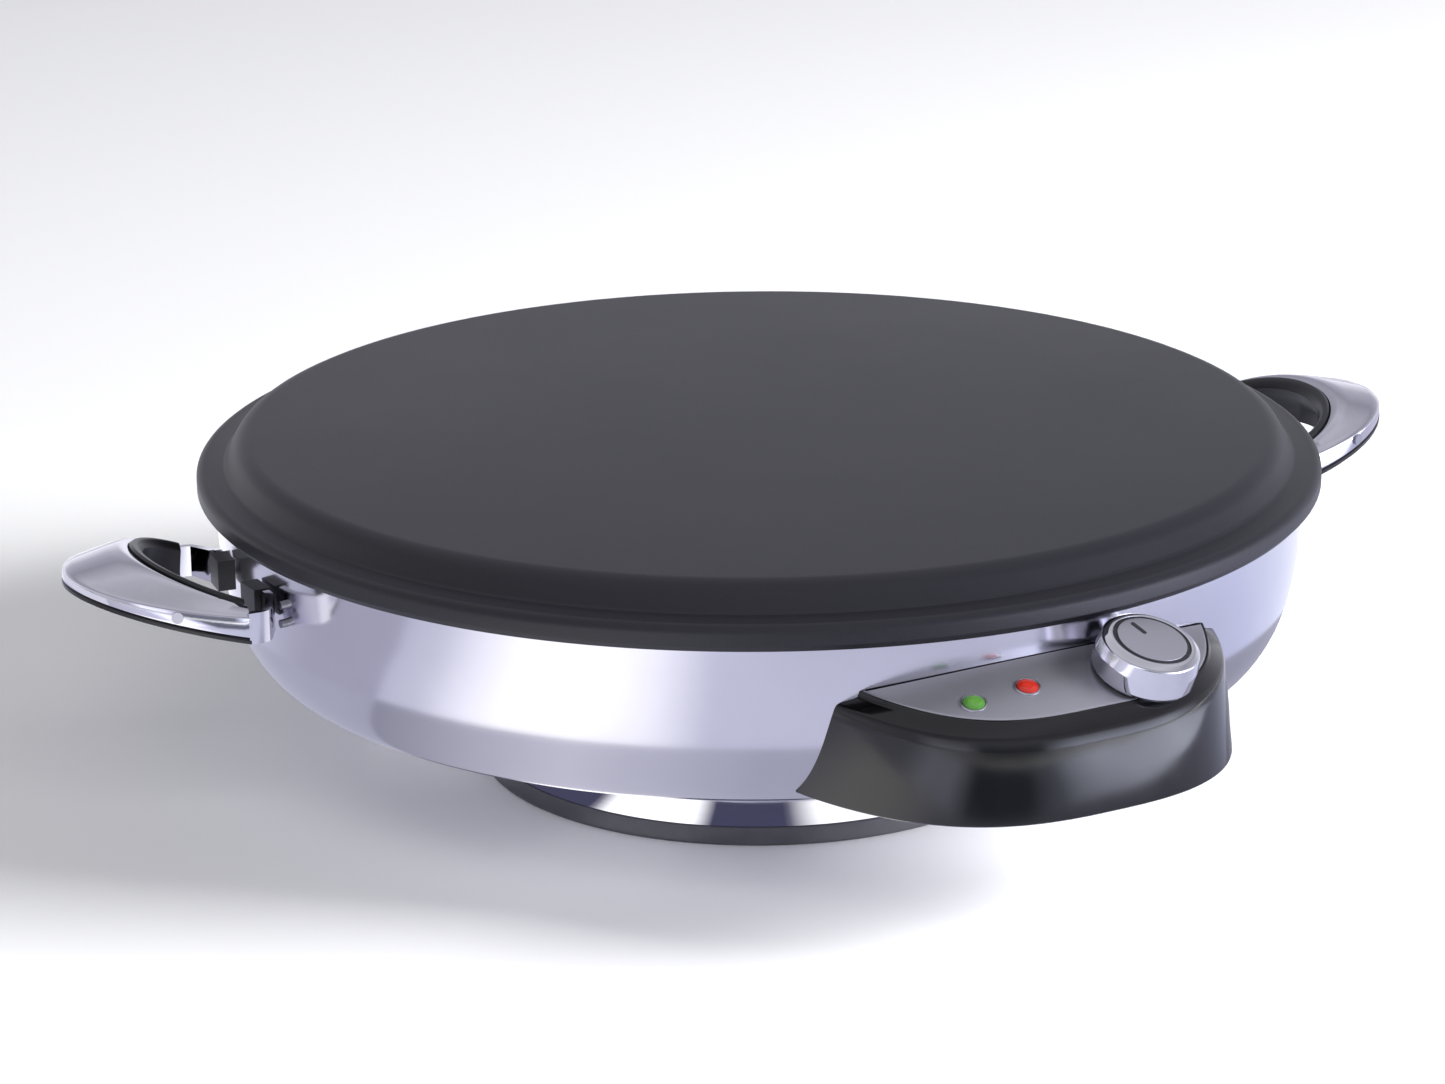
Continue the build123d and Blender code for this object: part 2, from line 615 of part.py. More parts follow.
MARK_IN, MARK_OUT, MARK_W = 3.4, 10.4, 1.5
with BuildPart() as knob_cap:
    turned(knob_place, ((0, KNOB_H - 1), (CAP_R, KNOB_H - 1), (CAP_R, KNOB_H - 0.1),
                        (CAP_R - 0.3, KNOB_H + 0.2), (0, KNOB_H + 0.2)))
    with BuildSketch(knob_place.offset(KNOB_H + 0.2)):
        with Locations((0, (MARK_IN + MARK_OUT) / 2)):
            SlotOverall(MARK_OUT - MARK_IN, MARK_W, rotation=90)
    extrude(amount=-0.4, mode=Mode.SUBTRACT)
save(knob_cap, "knob_cap")

with BuildPart() as knob_mark:
    with BuildSketch(knob_place.offset(KNOB_H - 0.2)):
        with Locations((0, (MARK_IN + MARK_OUT) / 2)):
            SlotOverall(MARK_OUT - MARK_IN, MARK_W, rotation=90)
    extrude(amount=0.35)
save(knob_mark, "knob_mark")

# ================================================================ sensing tube and wires
def tube(points, radius, bend):
    """A round tube along straight runs joined by tangent arcs."""
    with BuildLine() as path:
        FilletPolyline(*points, radius=bend)
    route = path.line
    with BuildSketch(Plane(origin=route @ 0, z_dir=route % 0)) as section:
        Circle(radius)
    sweep(section.sketch, path=route)


with BuildPart() as sensing_bulb:
    with Locations(Plane(origin=(0, -92, PLATE_UNDER - 3.2), z_dir=(0, 1, 0))):
        Cylinder(3.0, 44, align=(Align.CENTER, Align.CENTER, Align.MIN))
save(sensing_bulb, "sensing_bulb")

with BuildPart() as bulb_clip:
    with BuildSketch(Plane(origin=(0, -66, 0), x_dir=(1, 0, 0), z_dir=(0, -1, 0))):
        with Locations((0, PLATE_UNDER - 4.2)):
            Rectangle(10, 8.4)
            with Locations((0, 1.0)):
                Circle(3.1, mode=Mode.SUBTRACT)
    extrude(amount=16)
save(bulb_clip, "bulb_clip")

BULB_END = (0, -92, PLATE_UNDER - 3.2)
with BuildPart() as capillary_tube:
    tube(((12, -211, 73), (0, -176, 73), (0, -122, 84),
          (0, -121, BULB_END[2]), BULB_END), 1.0, 5)
save(capillary_tube, "capillary_tube")

TERMINAL = (-40, -212.5, 70)
with BuildPart() as terminal_block:
    with Locations(TERMINAL):
        Box(26, 12, 13)
    with Locations(*((TERMINAL[0] + x, TERMINAL[1], TERMINAL[2] + 6.5) for x in (-8, 0, 8))):
        Cylinder(2.6, 8, mode=Mode.SUBTRACT)
save(terminal_block, "terminal_block")

with BuildPart() as terminal_screws:
    for x in (-8, 0, 8):
        with Locations((TERMINAL[0] + x, TERMINAL[1], TERMINAL[2] + 2.5)):
            Cylinder(2.2, 2.4, align=(Align.CENTER, Align.CENTER, Align.MIN))
save(terminal_screws, "terminal_screws")

PIN_X, PIN_Y, _ = polar(ELEMENT_R, 270 + END_ANGLE)
PIN_Z = ELEMENT_Z - END_DROP - 9
LEAD_R = 1.6
fuse_from, fuse_to = Vector(-25, -186, 71), Vector(-20, -150, 68)
with BuildPart() as element_leads:
    tube(((-36, TERMINAL[1] + 6.8, 70), fuse_from, fuse_to, (-PIN_X, PIN_Y, 66),
          (-PIN_X, PIN_Y, PIN_Z)), LEAD_R, 5)
    tube(((27, -205.5, 73), (26, -176, 71), (PIN_X, PIN_Y, 66), (PIN_X, PIN_Y, PIN_Z)),
         LEAD_R, 5)
save(element_leads, "element_leads")

# A one-shot fuse in a sleeve on one of the element's leads.
with BuildPart() as thermal_fuse:
    run = fuse_to - fuse_from
    with BuildSketch(Plane(origin=fuse_from + run * 0.35, z_dir=run)):
        Circle(3.0)
        Circle(LEAD_R + 0.05, mode=Mode.SUBTRACT)
    extrude(amount=14)
save(thermal_fuse, "thermal_fuse")

with BuildPart() as supply_leads:
    for y in (-213.6, -210.4):
        tube(((GLAND[0] - 6, y, 61.5), (GLAND[0] - 14, y, 63.5), (-14, y, 63.5),
              (-25.8, y, 67)), 1.2, 4)
save(supply_leads, "supply_leads")

# ================================================================ handles
# Each handle is a polished metal shell in one piece with its two arms, over a moulded
# grip whose raised lip frames a hollow for the fingers. It is drawn along +X, then turned
# to its place.
def half_ellipse(plane, reach, half):
    """Half of an ellipse that bulges along the plane's x direction."""
    with BuildSketch(plane) as face:
        with BuildLine() as outline:
            bow = EllipticalCenterArc((0, 0), reach, half, start_angle=-90, arc_size=180)
            Line(bow @ 1, bow @ 0)
        make_face(outline.edges())
    return face.sketch


def tilted(height, rise):
    """A level across the handle's root that rises outward by an angle in degrees."""
    angle = radians(rise)
    return Plane(origin=(HANDLE_ROOT, 0, height), x_dir=(cos(angle), 0, sin(angle)),
                 z_dir=(-sin(angle), 0, cos(angle)))


BOTTOM_RISE, WALL_RISE, LIP_RISE = 16.0, 11.0, 22.0
GRIP_BOTTOM, GRIP_KNEE, GRIP_CROWN = 89.0, 97.4, 100.2     # heights at the handle's root


def grip_form(inset, bottom):
    """The handle's outer form above a bottom level, or the same drawn in by an inset."""
    low = half_ellipse(tilted(bottom, BOTTOM_RISE), HANDLE_OUT - inset, HANDLE_HALF - inset)
    knee = half_ellipse(tilted(GRIP_KNEE - inset / 2, WALL_RISE), HANDLE_OUT - inset,
                        HANDLE_HALF - inset)
    crown = half_ellipse(tilted(GRIP_CROWN - inset, LIP_RISE), 31, 39.5)
    loft([low, knee], ruled=True)
    loft([knee, crown], ruled=True)


FINGER_REACH, FINGER_HALF = 23.0, 35.5
FOOT_ANGLES = (6.7, 11.2)
FOOT_IN, FOOT_OUT = 201.0, 205.4
RIVET_AT, RIVET_TURN, RIVET_Z = 62.0, 66.7, 99.3
rivet_u = HANDLE_OUT * cos(radians(RIVET_AT))
rivet_v = HANDLE_HALF * sin(radians(RIVET_AT))
rivet_planes = [Plane(origin=(HANDLE_ROOT + rivet_u, side * rivet_v, RIVET_Z), x_dir=(0, 0, 1),
                      z_dir=(cos(radians(RIVET_TURN)), side * sin(radians(RIVET_TURN)), 0))
                for side in (1, -1)]


def sector(inner, outer, start, stop):
    """A sector of a ring about the bowl's axis, between two angles in degrees."""
    with BuildSketch(Plane.XY) as face:
        with BuildLine() as outline:
            inside = CenterArc((0, 0), inner, start, stop - start)
            outside = CenterArc((0, 0), outer, start, stop - start)
            Line(inside @ 0, outside @ 0)
            Line(inside @ 1, outside @ 1)
        make_face(outline.edges())
    return face.sketch


with BuildPart(mode=Mode.PRIVATE) as grip_outside:
    grip_form(0.0, GRIP_BOTTOM)
with BuildPart(mode=Mode.PRIVATE) as grip_inside:
    grip_form(HANDLE_SKIN, GRIP_BOTTOM - 1)
with BuildPart(mode=Mode.PRIVATE) as grip_solid:
    grip_form(HANDLE_SKIN + 0.1, GRIP_BOTTOM - 0.5)
# The hollow for the fingers is narrow at the lip and wider below it.
with BuildPart(mode=Mode.PRIVATE) as finger_hollow:
    mouth = half_ellipse(tilted(GRIP_CROWN + 4, LIP_RISE), FINGER_REACH - 3, FINGER_HALF - 3)
    throat = half_ellipse(tilted(GRIP_CROWN - 1, LIP_RISE), FINGER_REACH - 3, FINGER_HALF - 3)
    belly = half_ellipse(tilted(GRIP_BOTTOM + 4, BOTTOM_RISE), FINGER_REACH + 9, FINGER_HALF + 1)
    base = half_ellipse(tilted(GRIP_BOTTOM - 4, BOTTOM_RISE), FINGER_REACH + 6, FINGER_HALF)
    loft([mouth, throat], ruled=True)
    loft([throat, belly], ruled=True)
    loft([belly, base], ruled=True)

with BuildPart() as right_handle_shell:
    add(grip_outside.part)
    add(grip_inside.part, mode=Mode.SUBTRACT)
    opening = half_ellipse(tilted(GRIP_CROWN - 4.2, LIP_RISE), FINGER_REACH + 1.1, FINGER_HALF + 1.1)
    extrude(opening, amount=20, mode=Mode.SUBTRACT)
    with BuildSketch(Plane.XY.offset(STRAP_BOTTOM)) as arm_plan:
        for side in (1, -1):
            edge = side * (HANDLE_HALF - STRAP_T / 2)
            with BuildLine() as arm_line:
                FilletPolyline((HANDLE_ROOT, edge), (HANDLE_ROOT - 5, edge),
                               (FOOT_OUT - 1.2, side * 29.0), radius=5)
            trace(arm_line.line, line_width=STRAP_T)
    extrude(amount=STRAP_TOP - STRAP_BOTTOM)
    for start, stop in (FOOT_ANGLES, (-FOOT_ANGLES[1], -FOOT_ANGLES[0])):
        extrude(Pos(0, 0, STRAP_BOTTOM - 1.5) * sector(FOOT_IN, FOOT_OUT, start, stop), amount=14.5)
    add(bowl_clearance.part, mode=Mode.SUBTRACT)
    for angle in HANDLE_SCREW_ANGLES:
        with Locations(inner_wall_plane(angle)):
            with Locations((0, -3.4), (0, 3.4)):
                Cylinder(SCREW_R, 16, mode=Mode.SUBTRACT)
    for plane in rivet_planes:
        with BuildSketch(plane):
            Circle(1.3)
        extrude(amount=3, both=True, mode=Mode.SUBTRACT)

with BuildPart() as right_handle_grip:
    add(grip_solid.part)
    lip = half_ellipse(tilted(GRIP_CROWN - 4.2, LIP_RISE), FINGER_REACH + 1.0, FINGER_HALF + 1.0)
    extrude(lip, amount=4.4)
    low = half_ellipse(tilted(GRIP_BOTTOM - 2, BOTTOM_RISE), HANDLE_OUT + 0.3, HANDLE_HALF + 0.3)
    extrude(low, amount=1.9)
    add(finger_hollow.part, mode=Mode.SUBTRACT)
    with Locations((HANDLE_ROOT, 0, STRAP_TOP)):
        Box(20, 3 * HANDLE_HALF, 40, align=(Align.MAX, Align.CENTER, Align.CENTER),
            mode=Mode.SUBTRACT)
    for plane in rivet_planes:
        with BuildSketch(plane):
            Circle(1.3)
        extrude(amount=-8, mode=Mode.SUBTRACT)

with BuildPart() as right_handle_rivets:
    for plane in rivet_planes:
        with BuildSketch(plane):
            Circle(2.1)
        extrude(amount=0.8)
        with BuildSketch(plane):
            Circle(1.3)
        extrude(amount=-7)

# Moulded blocks under the handle's feet keep its heat down.
with BuildPart() as right_handle_blocks:
    for start, stop in ((3.4, FOOT_ANGLES[0] - 0.1), (0.1 - FOOT_ANGLES[0], -3.4)):
        extrude(Pos(0, 0, STRAP_BOTTOM + 2) * sector(204.0, 210.5, start, stop), amount=11.2)

with BuildPart() as right_handle_screws:
    for angle in HANDLE_SCREW_ANGLES:
        screws(inner_wall_plane(angle), [(0, -3.4), (0, 3.4)], 2.6, 1.6, SCREW_R, 4.0)

for piece, name in ((right_handle_shell, "shell"), (right_handle_grip, "grip"),
                    (right_handle_rivets, "rivets"), (right_handle_blocks, "blocks"),
                    (right_handle_screws, "screws")):
    for side, turn in (("right", HANDLE_TURN), ("left", HANDLE_TURN + 180)):
        with BuildPart() as placed:
            add(piece.part.rotate(Axis.Z, turn))
        save(placed, f"{side}_handle_{name}")
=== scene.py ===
import bmesh
import bpy
from math import atan2, cos, hypot, pi, radians, sin, tan
from mathutils import Matrix, Vector


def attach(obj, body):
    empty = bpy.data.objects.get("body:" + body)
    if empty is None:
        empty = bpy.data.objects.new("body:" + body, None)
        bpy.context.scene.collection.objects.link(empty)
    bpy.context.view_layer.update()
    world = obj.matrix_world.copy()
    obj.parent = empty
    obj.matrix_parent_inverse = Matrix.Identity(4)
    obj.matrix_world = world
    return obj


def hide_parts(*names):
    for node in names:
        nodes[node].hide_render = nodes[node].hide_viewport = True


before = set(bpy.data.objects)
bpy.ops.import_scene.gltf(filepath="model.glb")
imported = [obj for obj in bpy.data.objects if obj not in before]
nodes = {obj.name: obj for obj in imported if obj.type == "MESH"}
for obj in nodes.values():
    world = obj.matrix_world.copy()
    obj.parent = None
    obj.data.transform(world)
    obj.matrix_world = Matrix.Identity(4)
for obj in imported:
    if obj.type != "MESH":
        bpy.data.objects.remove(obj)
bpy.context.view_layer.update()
MM = 0.001

# ------------------------------------------------------------------ stand and camera
# A product camera on a long lens, a little above the griddle and to the left of its
# control box, aimed just above the floor at the middle of the bowl.
TURN, RAISE = radians(-29.5), 0.32321585
DISTANCE, AIM_HEIGHT = 1.650, 0.060
LENS, FILM = 108.17, 36.0
PAN, TILT, ROLL = -0.0083761, 0.0121958, -0.0061240

camera = bpy.data.objects.new("camera", bpy.data.cameras.new("camera"))
bpy.context.scene.collection.objects.link(camera)
camera.data.lens, camera.data.sensor_width = LENS, FILM
camera.data.clip_start, camera.data.clip_end = 0.01, 60.0
behind = Vector((sin(TURN) * cos(RAISE), -cos(TURN) * cos(RAISE), sin(RAISE)))
level = Vector((cos(TURN), sin(TURN), 0.0))
upward = behind.cross(level)
aim = Matrix((level, upward, behind)).transposed()
for turned, axle in ((-PAN, "Y"), (TILT, "X"), (ROLL, "Z")):
    aim = aim @ Matrix.Rotation(turned, 3, axle)
stand_at = Vector((0, 0, AIM_HEIGHT)) + behind * DISTANCE
camera.matrix_world = Matrix.Translation(stand_at) @ aim.to_4x4()
bpy.context.scene.camera = camera


class Wire:
    """One node's output. Arithmetic on it adds Math nodes to the same finish."""

    def __init__(self, finish, socket):
        self.finish, self.socket = finish, socket

    def math(self, kind, first, second):
        return self.finish.node("Math", {"operation": kind}, {0: first, 1: second})

    def __add__(self, other):
        return self.math("ADD", self, other)

    def __radd__(self, other):
        return self.math("ADD", other, self)

    def __mul__(self, other):
        return self.math("MULTIPLY", self, other)


class Finish:
    """A surface finish being wired up out of shader nodes."""

    def __init__(self, name, world=None):
        self.made = world or bpy.data.materials.new(name)
        self.made.use_nodes = True
        self.tree = self.made.node_tree
        self.tree.nodes.clear()

    def node(self, kind, settings=None, inputs=None, out=0):
        """Add a node, set it up, wire its sockets, and give one of its outputs."""
        step = self.tree.nodes.new("ShaderNode" + kind)
        for key, value in (settings or {}).items():
            if key == "stops":
                ramp = step.color_ramp.elements
                for stop, (at, color) in zip(list(ramp) + [None] * (len(value) - 2), value):
                    stop = stop or ramp.new(at)
                    stop.position, stop.color = at, (*color, 1.0)
            else:
                setattr(step, key, value)
        for key, value in (inputs or {}).items():
            if isinstance(value, Wire):
                self.tree.links.new(value.socket, step.inputs[key])
            else:
                step.inputs[key].default_value = value
        return Wire(self, step.outputs[out])

    def place(self, stretch=(1.0, 1.0, 1.0)):
        """The place on the piece in metres, stretched along its axes."""
        spot = self.node("TexCoord", out="Object")
        return self.node("Mapping", {}, {"Vector": spot, "Scale": stretch})

    def noise(self, scale, detail=2.0, rough=0.5, stretch=(1.0, 1.0, 1.0)):
        """A noise from 0 to 1 with this many cells to the metre."""
        return self.node("TexNoise", {}, {"Vector": self.place(stretch), "Scale": scale,
                                          "Detail": detail, "Roughness": rough})

    def mix(self, amount, first, second):
        """A colour between two colours."""
        return self.node("Mix", {"data_type": "RGBA"}, {0: amount, 6: first, 7: second}, out=2)

    def bump(self, height, depth, strength=1.0):
        """A surface normal from a height of 0 to 1 and its depth in metres."""
        return self.node("Bump", {}, {"Height": height, "Distance": depth, "Strength": strength})

    def surface(self, **sockets):
        """End the finish in one surface shader, its sockets named in words."""
        named = {key.replace("_", " ").title().replace("Ior", "IOR"): value
                 for key, value in sockets.items()}
        shader = self.node("BsdfPrincipled", {}, named)
        end = self.tree.nodes.new("ShaderNodeOutputMaterial")
        self.tree.links.new(shader.socket, end.inputs["Surface"])
        return self.made


def tone(red, green, blue):
    """A colour given as 0 to 255 on a screen, in linear light."""
    return tuple((v / 255 / 12.92 if v < 11 else ((v / 255 + 0.055) / 1.055) ** 2.4)
                 for v in (red, green, blue)) + (1.0,)


# ------------------------------------------------------------------ floor and studio
# A seamless pale floor under a pale room. A broad light stands on the right and a weak one
# in front. Grey and white cards lie round the griddle, out of the lens's sight, for the
# polished metal and the gloss black to show.
FLOOR_R, FLOOR_HOLE, FLOOR_SIDES, CARD_UP = 9.0, 0.005, 96, 0.0004
bpy.context.scene.view_settings.view_transform = "Standard"


def flat_ring(name, inner, outer, up, finish):
    """A flat ring lying on the floor round the griddle, for the floor and the cards."""
    mesh = bmesh.new()
    rings = [[mesh.verts.new((radius * cos(2 * pi * k / FLOOR_SIDES),
                              radius * sin(2 * pi * k / FLOOR_SIDES), up))
              for k in range(FLOOR_SIDES)] for radius in (inner, outer)]
    for k in range(FLOOR_SIDES):
        mesh.faces.new((rings[0][k - 1], rings[1][k - 1], rings[1][k], rings[0][k]))
    if inner == FLOOR_HOLE:
        mesh.faces.new(rings[0])
    ring = bpy.data.objects.new(name, bpy.data.meshes.new(name))
    mesh.to_mesh(ring.data)
    mesh.free()
    ring.data.materials.append(finish)
    bpy.context.scene.collection.objects.link(ring)
    return ring


paper = Finish("floor_paper")
paper_grain = paper.noise(900, 3)
floor = flat_ring("floor", FLOOR_HOLE, FLOOR_R, 0.0, paper.surface(
    base_color=paper.mix(paper_grain, tone(246, 246, 248), tone(250, 250, 252)),
    roughness=0.8, specular_ior_level=0.1,
    emission_color=tone(255, 255, 255), emission_strength=0.06))


def round_ramp(finish, spot, stops):
    """A colour that changes with the compass turn about the griddle, given in degrees."""
    parts = finish.node("SeparateXYZ", {}, {0: spot})
    east, north = (Wire(finish, parts.socket.node.outputs[k]) for k in (0, 1))
    turn = finish.node("Math", {"operation": "ARCTAN2"}, {0: north, 1: east})
    return finish.node("ValToRGB", {"stops": [((at + 180) / 360, color) for at, color in stops]},
                       {0: turn * (0.5 / pi) + 0.5})


WHITE, LAVENDER = (1.0, 1.0, 1.0), (0.44, 0.445, 0.55)
SLATE, NAVY = (0.30, 0.30, 0.38), (0.045, 0.045, 0.08)
CARDS = (  # name, inner and outer radius, strength, colours by turn
    ("near_card", 0.109, 0.152, 1.7, (
        (-180, NAVY), (-161, NAVY), (-156, WHITE), (-136, WHITE), (-131, NAVY), (-113, NAVY),
        (-104, WHITE), (-60, LAVENDER), (-20, NAVY), (25, WHITE), (70, LAVENDER), (120, NAVY),
        (150, WHITE), (176, NAVY))),
    ("low_card", 0.152, 0.270, 1.15, (
        (-180, SLATE), (-168, (0.42, 0.42, 0.50)), (-146, (0.66, 0.66, 0.76)), (-120, LAVENDER),
        (-60, SLATE), (20, LAVENDER), (90, (0.60, 0.60, 0.70)), (150, LAVENDER))),
    ("wide_card", 0.270, 0.560, 1.62, (
        (-180, LAVENDER), (-172, (0.50, 0.505, 0.60)), (-164, (0.80, 0.80, 0.88)), (-157, WHITE),
        (-146, WHITE), (-136, (0.84, 0.84, 0.90)), (-127, (0.47, 0.475, 0.58)), (-100, LAVENDER),
        (-60, (0.36, 0.365, 0.46)), (-28, (0.46, 0.48, 0.64)), (15, (0.70, 0.72, 0.82)),
        (60, SLATE), (100, WHITE), (135, LAVENDER), (160, SLATE))),
    ("far_card", 0.560, 1.600, 6.0, (
        (-180, (0.10, 0.10, 0.12)), (-150, (0.13, 0.13, 0.16)), (-140, (0.27, 0.27, 0.33)),
        (-128, (0.26, 0.26, 0.32)), (-117, (0.025, 0.027, 0.034)), (-92, (0.025, 0.028, 0.036)),
        (-80, (0.15, 0.16, 0.20)), (-66, (0.72, 0.75, 0.92)), (-46, (0.80, 0.84, 1.0)),
        (-32, (0.46, 0.48, 0.58)), (-20, (0.10, 0.10, 0.13)), (90, (0.15, 0.15, 0.17)))),
)
for name, inner, outer, strength, stops in CARDS:
    dull = Finish(name)
    shade = round_ramp(dull, dull.node("TexCoord", out="Object"), stops)
    glow = dull.node("Emission", {}, {"Color": shade, "Strength": strength})
    end = dull.tree.nodes.new("ShaderNodeOutputMaterial")
    dull.tree.links.new(glow.socket, end.inputs["Surface"])
    card = flat_ring(name, inner, outer, CARD_UP, dull.made)
    card.visible_camera = card.visible_diffuse = card.visible_shadow = False
    card.visible_transmission = False

EVEN_GREY = (0.31, 0.31, 0.32, 1.0)     # what matt surfaces get from the room
room = bpy.context.scene.world or bpy.data.worlds.new("room")
bpy.context.scene.world = room
air = Finish("room", room)
look = air.node("TexCoord", out="Generated")
height = air.node("SeparateXYZ", {}, {0: look}, out=2)
overhead = air.node("ValToRGB", {"stops": (
    (0.00, (0.55, 0.55, 0.62)), (0.50, (0.55, 0.55, 0.62)), (0.60, (0.60, 0.60, 0.68)),
    (0.75, (0.36, 0.36, 0.42)), (0.88, (0.62, 0.62, 0.68)), (1.00, (0.50, 0.50, 0.55)))},
    {0: height * 0.5 + 0.5})
around = round_ramp(air, look, (
    (-180, (0.70, 0.70, 0.80)), (-157, (0.50, 0.50, 0.60)), (-146, (1.6, 1.6, 1.9)),
    (-128, (1.5, 1.5, 1.8)), (-116, (0.14, 0.15, 0.20)), (-82, (0.14, 0.15, 0.20)),
    (-66, (3.6, 3.8, 4.7)), (-40, (4.6, 4.8, 5.8)), (-28, (2.2, 2.3, 2.8)),
    (-14, (0.50, 0.50, 0.60)), (40, (1.1, 1.1, 1.2)),
    (95, (1.2, 1.2, 1.3)), (140, (1.1, 1.1, 1.2)), (170, (0.70, 0.70, 0.80))))
low_down = air.node("Math", {"operation": "SUBTRACT", "use_clamp": True},
                    {0: 1.0, 1: air.node("Math", {"operation": "ABSOLUTE"}, {0: height}) * 4.0})
walls = air.mix(low_down, overhead, around)
matte = air.node("LightPath", out="Is Diffuse Ray")
lens_view = air.node("LightPath", out="Is Camera Ray")
even = air.mix(matte, walls, EVEN_GREY)
back = air.node("Background", {}, {"Color": air.mix(lens_view, even, (1.0, 1.0, 1.0, 1.0)),
                                   "Strength": 1.0})
air.tree.links.new(back.socket, air.tree.nodes.new("ShaderNodeOutputWorld").inputs[0])

LIT_SPOT = Vector((0, 0, 0.08))
LIGHTS = (  # name, place, width, depth, watts
    ("key_light", (2.0, -1.75, 1.40), 1.3, 1.0, 165.0),
    ("front_light", (-0.9, -2.2, 2.0), 1.8, 1.0, 24.0),
)
for name, spot, wide, deep, watts in LIGHTS:
    lamp = bpy.data.objects.new(name, bpy.data.lights.new(name, "AREA"))
    lamp.data.shape, lamp.data.size, lamp.data.size_y = "RECTANGLE", wide, deep
    lamp.data.energy = watts
    lamp.location = spot
    lamp.rotation_euler = (Vector(spot) - LIT_SPOT).to_track_quat("Z", "Y").to_euler()
    lamp.visible_glossy = False
    bpy.context.scene.collection.objects.link(lamp)

# ------------------------------------------------------------------ foot ring
# A grey moulded ring under the pedestal. Its foot flares a little and is radiused, and
# six screws hold the base plate down inside it.
ROUND_STEPS = 240


def rounded(knees):
    """An outline through (radius, height, fillet) knees in millimetres, in metres."""
    outline = []
    for k, (across, up, fillet) in enumerate(knees):
        here = Vector((across, up))
        if not fillet:
            outline.append(here)
            continue
        back = (Vector(knees[k - 1][:2]) - here).normalized()
        onward = (Vector(knees[(k + 1) % len(knees)][:2]) - here).normalized()
        half = back.angle(onward) / 2
        middle = here + (back + onward).normalized() * (fillet / sin(half))
        first, last = back * (fillet / tan(half)), onward * (fillet / tan(half))
        for step in range(7):
            spoke = (here + first.lerp(last, step / 6) - middle).normalized()
            outline.append(middle + spoke * fillet)
    return [(across * MM, up * MM) for across, up in outline]


def piece(name, mesh, finish, sharp=30.0):
    """An object from a finished bmesh, smooth except at edges sharper than an angle."""
    bmesh.ops.recalc_face_normals(mesh, faces=mesh.faces)
    made = bpy.data.objects.new(name, bpy.data.meshes.new(name))
    mesh.to_mesh(made.data)
    mesh.free()
    made.data.shade_smooth()
    made.data.set_sharp_from_angle(angle=radians(sharp))
    made.data.materials.append(finish)
    bpy.context.scene.collection.objects.link(made)
    return made


def spun(outline, steps=ROUND_STEPS, stand=Matrix()):
    """A solid of revolution from a closed (radius, height) outline in metres."""
    mesh = bmesh.new()
    rings = []
    for radius, up in outline:
        count = steps if radius > 1e-7 else 1
        rings.append([mesh.verts.new(stand @ Vector((radius * cos(2 * pi * k / steps),
                                                     radius * sin(2 * pi * k / steps), up)))
                      for k in range(count)])
    for low, high in zip(rings, rings[1:] + rings[:1]):
        for k in range(steps if max(len(low), len(high)) > 1 else 0):
            corners = [low[k % len(low)], low[(k + 1) % len(low)],
                       high[(k + 1) % len(high)], high[k % len(high)]]
            mesh.faces.new(list(dict.fromkeys(corners)))
    return mesh


plastic = Finish("grey_foot_plastic")
foot_grain = plastic.noise(1500, 3)
foot_scuff = plastic.noise(60, 4, 0.6)
grey_plastic = plastic.surface(
    base_color=plastic.mix(foot_scuff, tone(84, 84, 90), tone(108, 108, 115)),
    roughness=0.42 + foot_grain * 0.14, normal=plastic.bump(foot_grain, 0.00008, 0.5))
foot = piece("foot_moulding", spun(rounded((
    (97.0, 0.0, 0), (106.8, 0.0, 0.9), (105.7, 6.7, 0.5), (103.4, 6.7, 0), (103.4, 11.0, 0),
    (97.0, 11.0, 0)))), grey_plastic)
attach(foot, "base")
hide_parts("foot_ring")

# ------------------------------------------------------------------ pedestal band
# A rolled steel band, plated bright, standing in the foot ring. Its top edge turns in
# under the bowl, where six screws hold it.
plating = Finish("bright_plating")
plate_haze = plating.noise(45, 4, 0.6, (1, 1, 5))
fine_lines = plating.noise(900, 2, 0.5, (0.05, 0.05, 1))
bright_plating = plating.surface(
    base_color=plating.mix(plate_haze, tone(214, 214, 222), tone(232, 232, 238)), metallic=1.0,
    roughness=0.035 + plate_haze * 0.05, normal=plating.bump(fine_lines, 0.00002, 0.3))
band = piece("pedestal_rolled_band", spun(rounded((
    (105.0, 6.9, 0), (105.0, 30.0, 1.6), (96.0, 30.0, 0), (96.0, 28.8, 0), (103.8, 28.8, 0.8),
    (103.8, 6.9, 0)))), bright_plating)
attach(band, "base")
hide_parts("pedestal_band")

# ------------------------------------------------------------------ bowl
# Spun from one disc of stainless steel and polished, with faint rings left by the
# spinning tool. A narrow ledge is rolled in at its top to carry the plate.
BOWL_KNEES = ((203.4, 112.8, 0), (202.9, 95.0, 3), (200.7, 76.5, 10), (195.2, 59.0, 28),
              (187.5, 49.3, 55), (178.0, 46.3, 76))    # radius, height, lean of the face
BOWL_WALL = 1.0


def bowl_side(outward, steps=12):
    """The bowl's curved side as (radius, height) in millimetres, from its top down."""
    knees = [(Vector((r + outward * cos(radians(lean)), z - outward * sin(radians(lean)))),
              Vector((-sin(radians(lean)), -cos(radians(lean))))) for r, z, lean in BOWL_KNEES]
    side = []
    for (start, leave), (stop, arrive) in zip(knees, knees[1:]):
        chord = (stop - start).length
        for step in range(steps):
            t = step / steps
            side.append(start * (2 * t**3 - 3 * t**2 + 1) + leave * chord * (t**3 - 2 * t**2 + t)
                        + stop * (3 * t**2 - 2 * t**3) + arrive * chord * (t**3 - t**2))
    return side + [knees[-1][0]]


